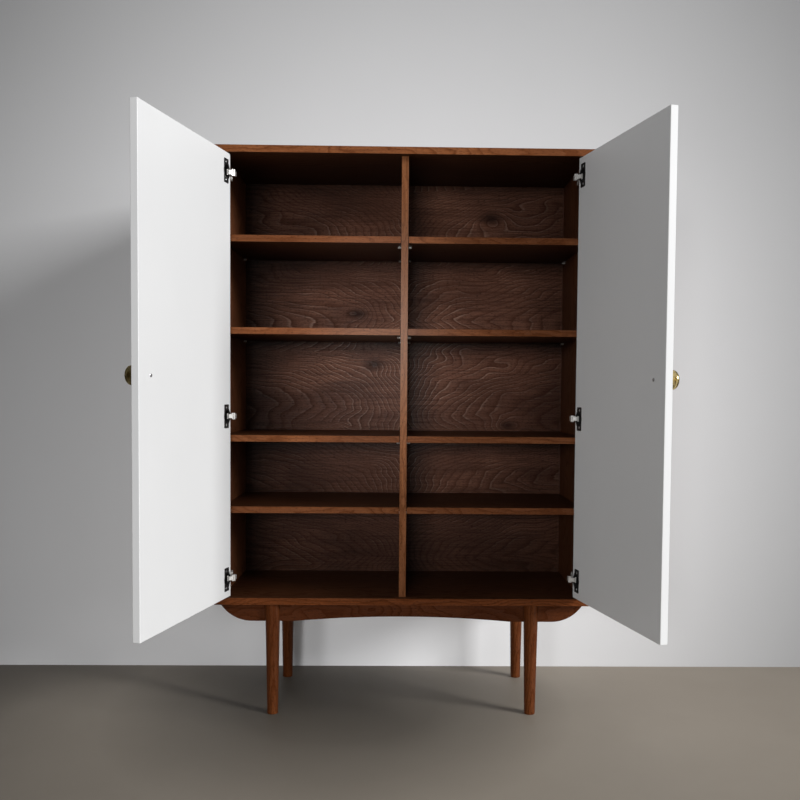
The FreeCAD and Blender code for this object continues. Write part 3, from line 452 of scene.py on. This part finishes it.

# %% [markdown]
# Colour follows the season of each ring: light early wood, dark late wood, and beside the step
# between them a pale thread. Streaks, fibres and patches darken it, and short dark pores cross it,
# as they do on real walnut. A front edge is planed and oiled paler than a face deep in the cabinet,
# so a board may have other tones there. A glow of painted light lightens the wood around a place and
# shows its pale threads more plainly there, and a painted sheen, a pale tone added to the colour,
# lays the gloss of the front edges over it.

# %% Walnut recipe
LIGHT_WOOD = [(0.0, 0.4), (0.45, 1.0), (0.82, 0.4), (0.97, 0.0)]
THREAD, THREAD_SEEN = [(0.0, 0.4), (0.07, 0.9), (0.23, 0.0)], [(0.42, 0.08), (0.62, 1.0)]
DARKENING = {"streak": ([(0.38, 1.0), (0.55, 0.0)], 0.5),
             "fibre": ([(0.35, 1.0), (0.62, 0.0)], 0.45),
             "patch": ([(0.42, 1.0), (0.60, 0.0)], 0.55)}
PORES, PORE_SHARE, PORE_TONE = [(0.57, 0.0), (0.66, 1.0)], 0.65, 0.35
HEART_SHARE, HEART_TONE = 0.8, 0.4
SEASON_GLOSS, GLOSS = [(0.0, 1.0), (0.45, 0.75), (0.97, 0.35)], 0.14
FRONT_FACING = -0.9
# How much of a painted glow's gain stays at a distance from its centre, counted in its reach.
GLOW_STOPS = [(0.0, 1.0), (0.125, 1.0), (0.175, 0.92), (0.325, 0.73), (0.41, 0.55), (0.50, 0.22),
              (0.56, 0.11), (0.75, 0.0)]
front_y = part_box("top_panel")[0].y
# A painted sheen: a pale tone added in a bell around the middle of the front edges, as a lamp's
# gloss.
PAINTED_SHEEN_AT, PAINTED_SHEEN_RADII, PAINTED_SHEEN_TONE = (-0.06, front_y, 1.02), (0.16, 1.0, 0.20), (1.0, 0.97, 0.93)


def walnut(name, along, tones, log, ring=0.011, swirl=0.035, jag=0.25, line=0.5, late=0.7,
           roughness=0.42, radius=log_radius, knots=(), faces=None, glow=None, haze=0.0):
    """Oiled walnut. along: grain axis; tones: dark, middle, light and thread colours; log: where
    in the log the board lies; ring: width of a ring; swirl, jag: how bent and how ragged the rings
    are;
    line, late: how plain the pale threads and how dark the late wood; radius: what counts the rings;
    faces: the tones away from the front edge, if those differ; glow: centre, reach and gain of a
    painted light around a place."""
    recipe = Recipe(name)
    where = recipe.mapped(recipe.place, location=log, rotation=GRAIN_TURNS[along])
    dark, middle, light, pale = tones
    if faces:
        toward = recipe.axes(recipe.add("NewGeometry").outputs["True Normal"])["Y"]
        front = recipe.maths("LESS_THAN", toward, FRONT_FACING)
        dark, middle, light, pale = (recipe.mix(front, *pair) for pair in zip(faces, tones))

    rings = recipe.maths("DIVIDE", radius(recipe, where, slow_bends(recipe, where, swirl)), ring)
    count = recipe.plus(rings, recipe.times(grain(recipe, where, "ragged"), jag * 4))
    count, heart = with_knots(recipe, count, knots)
    season = recipe.maths("FRACT", count)

    late_wood = [(0.0, 0.0), (0.70, 0.0), (0.94, late), (1.0, 0.3 * late)]
    growth = recipe.mix(recipe.ramp(season, LIGHT_WOOD), middle, light)
    growth = recipe.mix(recipe.ramp(season, late_wood), growth, dark)
    seen = recipe.ramp(recipe.noise(where, 9.0, 3.0), THREAD_SEEN)
    # Painted sheen: where the painted glow lies, the pale threads show more.
    if glow:
        centre, reach, gain = glow
        lift = recipe.ramp(recipe.away_from(recipe.place, centre, reach), GLOW_STOPS)
        seen = recipe.times(seen, recipe.plus(recipe.times(lift, 0.6), 0.4))
    thread = recipe.times(recipe.times(recipe.ramp(season, THREAD), seen), line)
    colour = recipe.mix(thread, growth, pale)

    marks = {kind: grain(recipe, where, kind) for kind in ("streak", "fibre", "patch")}
    for kind, (stops, share) in DARKENING.items():
        colour = recipe.mix(recipe.times(recipe.ramp(marks[kind], stops), share), colour, dark)
    pores = recipe.ramp(grain(recipe, where, "fleck"), PORES)
    pore_tone, heart_tone = (tuple(v * share for v in tones[0]) for share in (PORE_TONE, HEART_TONE))
    colour = recipe.mix(recipe.times(pores, PORE_SHARE), colour, pore_tone)
    if knots:
        colour = recipe.mix(recipe.times(heart, HEART_SHARE), colour, heart_tone)
    # Painted light: around the glow's centre the colour is made up to 1 + gain times lighter.
    if glow:
        colour = recipe.mix(lift, colour, recipe.mix(1.0, colour, (1 + gain,) * 3, "MULTIPLY"))
    # Painted sheen: a pale tone is added to the colour around the middle of the front.
    if haze:
        away = recipe.away_from(recipe.place, PAINTED_SHEEN_AT, PAINTED_SHEEN_RADII)
        veil = recipe.bell(recipe.times(away, away))
        colour = recipe.mix(recipe.times(veil, haze), colour, PAINTED_SHEEN_TONE, "ADD")

    relief = recipe.maths("SUBTRACT", recipe.times(marks["fibre"], 0.5), pores)
    recipe.bump(relief, distance=0.00012, strength=0.5)
    sheen = recipe.plus(recipe.times(marks["fibre"], 0.12), roughness - 0.06)
    gloss = recipe.times(recipe.ramp(season, SEASON_GLOSS), GLOSS)
    return recipe.finish(Base_Color=colour, Roughness=sheen, Specular_IOR_Level=gloss)


print("walnut haze lies at", [round(v, 3) for v in PAINTED_SHEEN_AT])

# %% [markdown]
# ### The carcass
# Each board gets its own piece of log. The two sides are painted paler inside than the top and the
# bottom: painted light, as the top and the bottom lie in their own shade. The divider's front edge
# gets a painted glow and a painted sheen in its middle.

# %% Carcass boards
EDGE_TONES = ((0.110, 0.034, 0.0115), (0.215, 0.070, 0.0235),
              (0.275, 0.098, 0.036), (0.34, 0.145, 0.062))
FACE_TONES = ((0.040, 0.0135, 0.0055), (0.075, 0.026, 0.0105),
              (0.100, 0.037, 0.0155), (0.125, 0.052, 0.024))
BOTTOM_TONES = ((0.070, 0.019, 0.0050), (0.135, 0.036, 0.0095),
                (0.175, 0.050, 0.0145), (0.21, 0.075, 0.026))
DIVIDER_TONES = ((0.12, 0.042, 0.015), (0.26, 0.095, 0.036),
                 (0.33, 0.131, 0.054), (0.40, 0.18, 0.085))
# Painted glow and painted sheen on the divider's front edge: lighter around its middle.
DIVIDER_GLOW = ((0, cad_low.y, 0.95), (2.0, 2.0, 0.69), 1.4)


def scaled(tones, share):
    return tuple(tuple(v * share for v in tone) for tone in tones)


# Painted light: the sides' inner faces are 1.8 times paler than the faces of the top and the bottom.
SIDE_PAINTED_LIGHT_TONES = scaled(FACE_TONES, 1.8)
for name, along, tones, log, look in (
        ("top_panel", "X", EDGE_TONES, (0.31, 0.22, -1.39), {"faces": FACE_TONES}),
        ("bottom_panel", "X", BOTTOM_TONES, (1.17, -0.12, -0.21), {"faces": FACE_TONES}),
        ("side_panel_left", "Z", EDGE_TONES, (0.4, 0.15, 0.33), {"faces": SIDE_PAINTED_LIGHT_TONES}),
        ("side_panel_right", "Z", EDGE_TONES, (2.9, 0.11, -0.56), {"faces": SIDE_PAINTED_LIGHT_TONES}),
        ("centre_divider", "Z", DIVIDER_TONES, (5.2, 0.06, 0.11),
         {"faces": FACE_TONES, "glow": DIVIDER_GLOW, "haze": 0.15})):
    dress([name], walnut(name + " walnut", along, tones, log, **look))

# %% [markdown]
# The shelves come from one log, each from farther along it, and their tops all lie 90 mm from its
# heart. Their front edges get a painted glow around the cabinet's middle and a faint painted sheen.

# %% Shelves
LOG_STEP, HEART_BELOW = 0.83, 0.09
SHELF_TONES = scaled(EDGE_TONES, 0.85)
SHELF_GLOW = ((-0.08, cad_low.y, 0.99), (0.76, 3.0, 0.76), 1.2)

shelves = sorted(name for name in nodes if name.startswith("shelf_") and name != "shelf_pegs")
for number, name in enumerate(shelves):
    log = (LOG_STEP * number, 0.05 + 0.03 * (number % 3), HEART_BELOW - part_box(name)[1].z)
    dress([name], walnut(name + " walnut", "X", SHELF_TONES, log, faces=FACE_TONES,
                         glow=SHELF_GLOW, haze=0.09))

# %% [markdown]
# ### The back panel
# The back is veneer: two leaves of one log opened like a book, so its flames mirror about the
# middle. A leaning log alone leaves it to chance where a flame stands, so here the ring count is
# steered. It rises with the distance from the middle, more slowly farther out, and falls where a
# flame stands. A flame has its tip low in each compartment, at the same share of the height in all,
# and a ramp holds that curve for the whole panel. Four knots sit among the flames.

# %% Flames of the back
FLAME_MIDDLE, FLAME_REACH, FLAME_SLOPE, FLAME_DEPTH, FLAME_DRIFT = -0.01, 0.45, 0.36, 0.11, 1.2
FLAME_TIP, FLAME_PARTS = 0.2, (0.02, 0.2, 0.4, 0.6, 0.8, 0.98)

back_low, back_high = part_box("back_panel")
back_tall = back_high.z - back_low.z
shelf_levels = [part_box("shelf_left_%d" % number)[0].z for number in (1, 2, 3, 4)]
flame_stops = []
for low, high in zip([back_low.z] + shelf_levels, shelf_levels + [back_high.z]):
    for part in FLAME_PARTS:
        rise = (part - FLAME_TIP) ** 1.7 if part > FLAME_TIP else (FLAME_TIP - part) * 0.6
        flame_stops.append(((low + (high - low) * part - back_low.z) / back_tall, rise))


def flame_radius(recipe, where, bends):
    """Rises away from the middle, ever more slowly, and falls with the flames' curve."""
    drift = recipe.axes(recipe.vector("MULTIPLY", bends, (FLAME_DRIFT,) * 3))
    still = recipe.axes(recipe.place)
    run = recipe.maths("ABSOLUTE", recipe.maths("SUBTRACT", still["X"], FLAME_MIDDLE))
    run = recipe.plus(run, drift["Y"])
    run = recipe.maths("DIVIDE", recipe.times(run, FLAME_REACH), recipe.plus(run, FLAME_REACH))
    height = recipe.maths("SUBTRACT", recipe.plus(still["Z"], drift["Z"]), back_low.z)
    flame = recipe.ramp(recipe.maths("DIVIDE", height, back_tall), flame_stops)
    return recipe.maths("SUBTRACT", recipe.times(run, FLAME_SLOPE), recipe.times(flame, FLAME_DEPTH))


print(len(flame_stops), "stops on the flames' curve")

# %% Back panel
BACK_TONES = ((0.0125, 0.0048, 0.0029), (0.050, 0.0200, 0.0120),
              (0.076, 0.033, 0.0203), (0.21, 0.130, 0.096))
BACK_KNOTS = [((-0.090, back_low.y, 0.952), 0.04, 3.5), ((0.319, back_low.y, 0.769), 0.03, 3.0),
              ((-0.142, back_low.y, 1.105), 0.035, 3.0), ((0.259, back_low.y, 1.395), 0.04, 4.0)]
# Painted light: the glow makes the back up to 5.2 times lighter around the cabinet's middle and
# leaves it darker toward the sides; its pale threads show more there as a painted sheen.
BACK_GLOW = ((0.03, back_low.y, 0.95), (0.80, 2.0, 1.10), 4.2)

dress(["back_panel"], walnut("back walnut", "X", BACK_TONES, (0, 0, 0), ring=0.0060, swirl=0.034,
                             jag=0.08, line=0.72, late=0.25, roughness=0.25, radius=flame_radius,
                             knots=BACK_KNOTS, glow=BACK_GLOW))

# %% [markdown]
# ### Frame and legs
# The frame's boards are narrow and darker. A leg is turned from a square billet that was sawn beside
# the log's heart, so its rings run as long stripes and close over the taper.

# %% Frame and legs
FRAME_TONES = ((0.050, 0.0130, 0.0038), (0.092, 0.0250, 0.0075),
               (0.120, 0.036, 0.0120), (0.14, 0.05, 0.021))
LEG_TONES = ((0.065, 0.0165, 0.0045), (0.125, 0.0345, 0.0090),
             (0.170, 0.053, 0.0160), (0.21, 0.08, 0.032))
BILLET_STEP, BESIDE_HEART = 0.47, (0.021, 0.006)

for kind, log in (("apron", (0.5, 0.05, -0.31)), ("rail", (0.1, 0.2, -0.25))):
    for name in sorted(name for name in nodes if kind in name.split("_") and not name.endswith("s")):
        dress([name], walnut(name + " walnut", "X", FRAME_TONES, log, ring=0.008, line=0.3))
legs = sorted(name for name in nodes if name.startswith("leg_") and name != "leg_screws")
for number, name in enumerate(legs):
    middle = sum(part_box(name), Vector()) / 2
    log = (BILLET_STEP * number, BESIDE_HEART[0] - middle.y, BESIDE_HEART[1] + middle.x)
    dress([name], walnut(name + " walnut", "Z", LEG_TONES, log, ring=0.0065, swirl=0.006,
                         jag=0.3, line=0.35))

# %% [markdown]
# ## White paint
# The doors are sprayed with a smooth satin white. A flat colour would make them look like plastic: a
# sprayed face has a very fine orange-peel surface and a breath of tone. Both are far too faint to see
# as such, but they soften reflections the way real paint does.

# %% Door paint
def paint(name, tone):
    """Sprayed paint, by a breath darker in places."""
    recipe = Recipe(name)
    breath = recipe.noise(recipe.place, 3.0, 3)
    darker = tuple(v * 0.975 for v in tone)
    colour = recipe.mix(recipe.ramp(breath, [(0.35, 0.0), (0.65, 1.0)]), tone, darker)
    recipe.bump(recipe.noise(recipe.place, 420, 2), distance=0.00006, strength=0.35)
    shine = recipe.plus(recipe.times(breath, 0.08), 0.42)
    return recipe.finish(Base_Color=colour, Roughness=shine, Specular_IOR_Level=0.2)


dress(["door_left", "door_right"], paint("door paint", (0.75, 0.755, 0.76)))

# %% [markdown]
# ## Metals
# Plated steel and brass differ in colour and in how fine their surface is. The hinge cups are near
# black: a painted reflection, standing for nickel that mirrors the dark inside of the cabinet. One
# recipe serves them all: two tones mixed by slow noise, which stand for bare and dulled metal, and a
# roughness that drifts with fine brushing. The dowels are beech, made with the walnut's recipe.

# %% Metals and dowels
AGEING, BRUSHING, BRUSH_BITE = 90, 900, 0.00002


def metal(name, bright, dull, smooth, rough, metallic=1.0):
    """Metal whose tone and roughness drift between two states."""
    recipe = Recipe(name)
    brush = recipe.noise(recipe.place, BRUSHING, 3, 0.6)
    worn = recipe.ramp(recipe.noise(recipe.place, AGEING, 4, 0.6), [(0.40, 0.0), (0.68, 1.0)])
    span = recipe.times(recipe.plus(brush, worn), (rough - smooth) / 2)
    recipe.bump(brush, BRUSH_BITE, 0.4)
    return recipe.finish(Base_Color=recipe.mix(worn, bright, dull),
                         Roughness=recipe.plus(span, smooth), Metallic=metallic)


brass = metal("aged brass", (0.66, 0.52, 0.24), (0.30, 0.22, 0.09), 0.18, 0.36)
nickel = metal("nickel plate", (0.88, 0.86, 0.83), (0.76, 0.74, 0.71), 0.30, 0.46, metallic=0.6)
zinc = metal("zinc plate", (0.74, 0.75, 0.77), (0.52, 0.53, 0.55), 0.28, 0.48)
# Painted reflection: the hinge cups are near black, as nickel mirroring the dark inside looks.
cup_painted_reflection = metal("cup dark as painted reflection", (0.012, 0.012, 0.013), (0.020, 0.019, 0.018), 0.30, 0.46,
              metallic=0.0)
BEECH_TONES = ((0.42, 0.27, 0.15), (0.55, 0.37, 0.22), (0.62, 0.44, 0.28), (0.66, 0.5, 0.33))
beech = walnut("beech", "Z", BEECH_TONES, (0.1, 0.02, 0.03), ring=0.004, line=0.1, roughness=0.6)

small_parts = {brass: ["knob_left", "knob_right"], nickel: ["shelf_pegs"],
               cup_painted_reflection: [], zinc: [], beech: []}
for name in nodes:
    if name.startswith("hinge_cup"):
        small_parts[cup_painted_reflection].append(name)
    elif name.startswith(("hinge_link", "hinge_arm_", "hinge_plates", "hinge_pins")):
        small_parts[nickel].append(name)
    elif "screw" in name:
        small_parts[zinc].append(name)
    elif name.endswith("dowels"):
        small_parts[beech].append(name)
for finish, names in small_parts.items():
    dress(names, finish)

# %% [markdown]
# ## Turned and driven parts
# The CAD model rounds its small parts with flat facets and gives its wood screws no drive. Smoothing
# such a mesh would shrink it, so both get a finer mesh here, turned as on a lathe: a profile of radii
# and heights goes round an axis. A knob's profile is written out in millimetres, a screw's is read
# off the CAD mesh, so the new one stands exactly where the old one stood. A screw's head is a disc of
# rings whose points sink where the cross recess is.

# %% Lathe
MM = 0.001


def lathe(rings, profile, axis, foot, segments, sink=None):
    """Adds to rings, a pair of vertices and faces, a profile turned about an axis from its foot."""
    verts, faces = rings
    side = Vector((0, 0, 1)).cross(axis) if abs(axis.z) < 0.9 else Vector((1, 0, 0))
    side.normalize()
    other = axis.cross(side)
    previous = None
    for radius, height in profile:
        start = len(verts)
        spokes = 1 if radius == 0 else segments
        for number in range(spokes):
            angle = 2 * math.pi * number / segments
            flat = (radius * math.cos(angle), radius * math.sin(angle))
            depth = sink(flat, height) if sink else 0.0
            verts.append(foot + flat[0] * side + flat[1] * other + (height - depth) * axis)
        if previous is not None:
            before, count = previous
            for number in range(segments):
                after = (number + 1) % segments
                corners = [before + number % count, before + after % count,
                           start + after % spokes, start + number % spokes]
                faces.append([c for i, c in enumerate(corners) if c not in corners[:i]])
        previous = (start, spokes)


def piece(name, rings, material, body, node, angle=40):
    """Makes the turned mesh an object that stands for a CAD node."""
    mesh = bpy.data.meshes.new(name)
    mesh.from_pydata(rings[0], [], rings[1])
    mesh.materials.append(material)
    mesh.validate()
    made = bpy.data.objects.new(name, mesh)
    bpy.context.scene.collection.objects.link(made)
    mesh.shade_smooth()
    mesh.set_sharp_from_angle(angle=math.radians(angle))
    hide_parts(node)
    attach(made, body)
    return made


print("lathe ready")

# %% [markdown]
# A knob is foot, neck, a cove under the rim and a domed cap whose shoulder and crown are two arcs
# that meet smoothly. The crown's radius follows from that: both arcs have one tangent where they
# meet. All sizes are millimetres, heights from the door's face.

# %% Knob profile
FOOT, NECK, LIP, RIM = 12.0, 8.0, 20.4, 22.0
FOOT_HIGH, COVE_LOW, COVE_HIGH, RIM_HIGH, KNOB_HIGH = 4.0, 20.0, 26.4, 28.0, 40.2
SHOULDER, EASE = 8.0, 0.4
COVE_STEPS, SHOULDER_STEPS, CROWN_STEPS = 10, 11, 14

inset = RIM - SHOULDER
dome = KNOB_HIGH - RIM_HIGH
crown = (inset ** 2 + dome ** 2 - SHOULDER ** 2) / (2 * (dome - SHOULDER))
crown_angle = math.asin(inset / (crown - SHOULDER))
knob_profile = [(0, 0), (FOOT - EASE, 0), (FOOT - EASE / 3, EASE / 3), (FOOT, EASE)]
knob_profile += [(FOOT + (NECK - FOOT) * part, FOOT_HIGH * (1 + part ** 2) / 2)
                 for part in (0, 0.25, 0.5, 0.75, 1)]
knob_profile += [(NECK, COVE_LOW)]
for step in range(1, COVE_STEPS + 1):
    out = step / COVE_STEPS
    cove = 1 - (1 - out) ** 1.7
    knob_profile.append((NECK + (LIP - NECK) * out, COVE_LOW + (COVE_HIGH - COVE_LOW) * cove))
knob_profile += [(RIM - EASE, RIM_HIGH - EASE), (RIM - EASE / 4, RIM_HIGH - EASE / 4)]
for step in range(SHOULDER_STEPS + 1):
    angle = (math.pi / 2 - crown_angle) * step / SHOULDER_STEPS
    knob_profile.append((inset + SHOULDER * math.cos(angle), RIM_HIGH + SHOULDER * math.sin(angle)))
for step in range(1, CROWN_STEPS + 1):
    angle = crown_angle * (1 - step / CROWN_STEPS)
    across = crown * math.sin(angle) if step < CROWN_STEPS else 0
    knob_profile.append((across, KNOB_HIGH - crown + crown * math.cos(angle)))
print("crown radius", round(crown, 1), "mm,", len(knob_profile), "points")

# %% [markdown]
# A knob's axis is its door's outward direction at the 103 degrees of the picture. Its middle and its
# foot are read off the CAD knob along that axis.

# %% Knobs
OPEN = math.radians(103)

for side_name, side in (("left", -1), ("right", 1)):
    outward = Vector((side * math.sin(OPEN), -math.cos(OPEN), 0))
    level = Vector((0, 0, 1))
    sideways = outward.cross(level)
    points = [v.co for v in nodes["knob_" + side_name].data.vertices]
    foot = min(p.dot(outward) for p in points) * outward
    for direction in (sideways, level):
        reach = [p.dot(direction) for p in points]
        foot += (max(reach) + min(reach)) / 2 * direction
    rings = ([], [])
    lathe(rings, [(r * MM, h * MM) for r, h in knob_profile], outward, foot, 96)
    piece("turned_knob_" + side_name, rings, brass, "door_" + side_name, "knob_" + side_name,
          30)
    print("knob", side_name, "at", [round(v, 4) for v in foot], len(rings[1]), "faces")

# %% [markdown]
# A CAD node holds several screws in one mesh, so they are first parted by following the edges from
# point to point.

# %% Part the screws
def screw_islands(node):
    """The separate screws of a CAD node, each as an array of its points."""
    solid = bmesh.new()
    solid.from_mesh(nodes[node].data)
    bmesh.ops.remove_doubles(solid, verts=solid.verts, dist=1e-6)
    reached = set()
    for start in solid.verts:
        if start in reached:
            continue
        reached.add(start)
        island = [start]
        for vert in island:
            for edge in vert.link_edges:
                other = edge.other_vert(vert)
                if other not in reached:
                    reached.add(other)
                    island.append(other)
        yield numpy.array([tuple(vert.co) for vert in island])
    solid.free()


print(len(list(screw_islands("back_panel_screws"))), "screws hold the back panel")

# %% [markdown]
# Each screw's axis is the one direction of its mesh that differs from the other two; the end where
# it is widest is the head. Below the head the shank gets rings for its thread, cut inward, so a
# screw never grows past its bore. All shares are of the head's or the shank's radius.

# %% Wood screws
CROSS_WIDE, CROSS_LONG, CROSS_DEEP, CROSS_WALL, CROSS_END = 0.19, 0.62, 0.42, 0.05, 0.25
HEAD_RINGS, THREAD_TURNS, THREAD_LONG, THREAD_ROOT = 14, 9, 0.75, 0.78


def screw_form(points):
    """Middle and axis of a screw's points, then head radius, shank radius, top, throat and tip."""
    middle = (points.max(0) + points.min(0)) / 2
    values, directions = numpy.linalg.eigh(numpy.cov((points - points.mean(0)).T))
    first_differs = abs(values[2] - values[1]) < abs(values[1] - values[0])
    axis = directions[:, 0] if first_differs else directions[:, 2]
    heights = (points - middle) @ axis
    radii = numpy.linalg.norm(points - middle - numpy.outer(heights, axis), axis=1)
    if heights[radii > 0.95 * radii.max()].mean() < 0:
        axis, heights = -axis, -heights
    wide, top, tip = float(radii.max()), float(heights.max()), float(heights.min())
    shank = float(radii[heights < tip + 0.6 * (top - tip)].max())
    throat = float(heights[(radii > 0.97 * shank) & (radii < 1.03 * shank)].max())
    return Vector(middle), Vector(axis), wide, shank, top, throat, tip


def turn_screw(rings, points):
    """Adds one screw with a cross recess where a CAD screw stands."""
    middle, axis, wide, shank, top, throat, tip = screw_form(points)
    profile = [(0, top)]
    profile += [(wide * 0.95 * ring / HEAD_RINGS, top) for ring in range(1, HEAD_RINGS + 1)]
    profile += [(wide * 0.985, top - wide * 0.04), (shank, throat)]
    turn = (throat - tip) * THREAD_LONG / THREAD_TURNS
    for number in range(THREAD_TURNS):
        low = throat - turn * (number + 1)
        profile += [(shank * THREAD_ROOT, low + turn * 0.5), (shank, low)]
    profile += [(shank * 0.5, tip + (top - tip) * 0.06), (0, tip)]

    def cross(flat, height):
        """How deep the recess is at a place of the head."""
        if height < top:
            return 0.0
        near, far = sorted(abs(v) for v in flat)
        wall = min(1.0, max(0.0, (CROSS_WIDE * wide - near) / (CROSS_WALL * wide)))
        run = min(1.0, max(0.0, (CROSS_LONG * wide - far) / (CROSS_END * wide)))
        return CROSS_DEEP * wide * wall * run

    lathe(rings, profile, axis, middle, 48, cross)


for node, body, words in (("cup_screws_left", "door_left", "cross_screws_cups_left"),
                          ("cup_screws_right", "door_right", "cross_screws_cups_right"),
                          ("hinge_plate_screws", "carcass", "cross_screws_plates"),
                          ("back_panel_screws", "carcass", "cross_screws_back"),
                          ("rail_screws", "carcass", "cross_screws_rails"),
                          ("leg_screws", "carcass", "cross_screws_legs")):
    rings = ([], [])
    for points in screw_islands(node):
        turn_screw(rings, points)
    piece(words, rings, zinc, body, node)
    print(words, len(rings[1]), "faces")

# %% [markdown]
# ## A light for the back
# The wall stands too close to the cabinet for any light to reach its back. It could stand farther
# off, but then the shadows on it would be wrong, so a thin lamp in the gap serves that side alone.
# Its light leaves it almost straight, so none of it gets past the cabinet into the room. Such a
# panel spends its power on its own area, which makes the sum for it simple.

# %% Light from behind
REAR_SHARE, REAR_SPREAD, REAR_GAP = 0.6, math.radians(16), 0.002

rear_size = (back_high.x - back_low.x, back_tall)
rear_middle = Vector((0, wall_y - REAR_GAP, (back_low.z + back_high.z) / 2))
rear_power = REAR_SHARE * math.pi * rear_size[0] * rear_size[1]
rear = lamp("panel behind", rear_middle, rear_middle - Vector((0, 1, 0)), rear_size, rear_power)
rear.data.spread = REAR_SPREAD
rear.visible_camera = rear.visible_glossy = False

# %% [markdown]
# ## Measuring
# The size of the CAD model is printed once more.

# %% Size of the CAD model
print("cad box", [round(v, 4) for v in cad_high - cad_low])
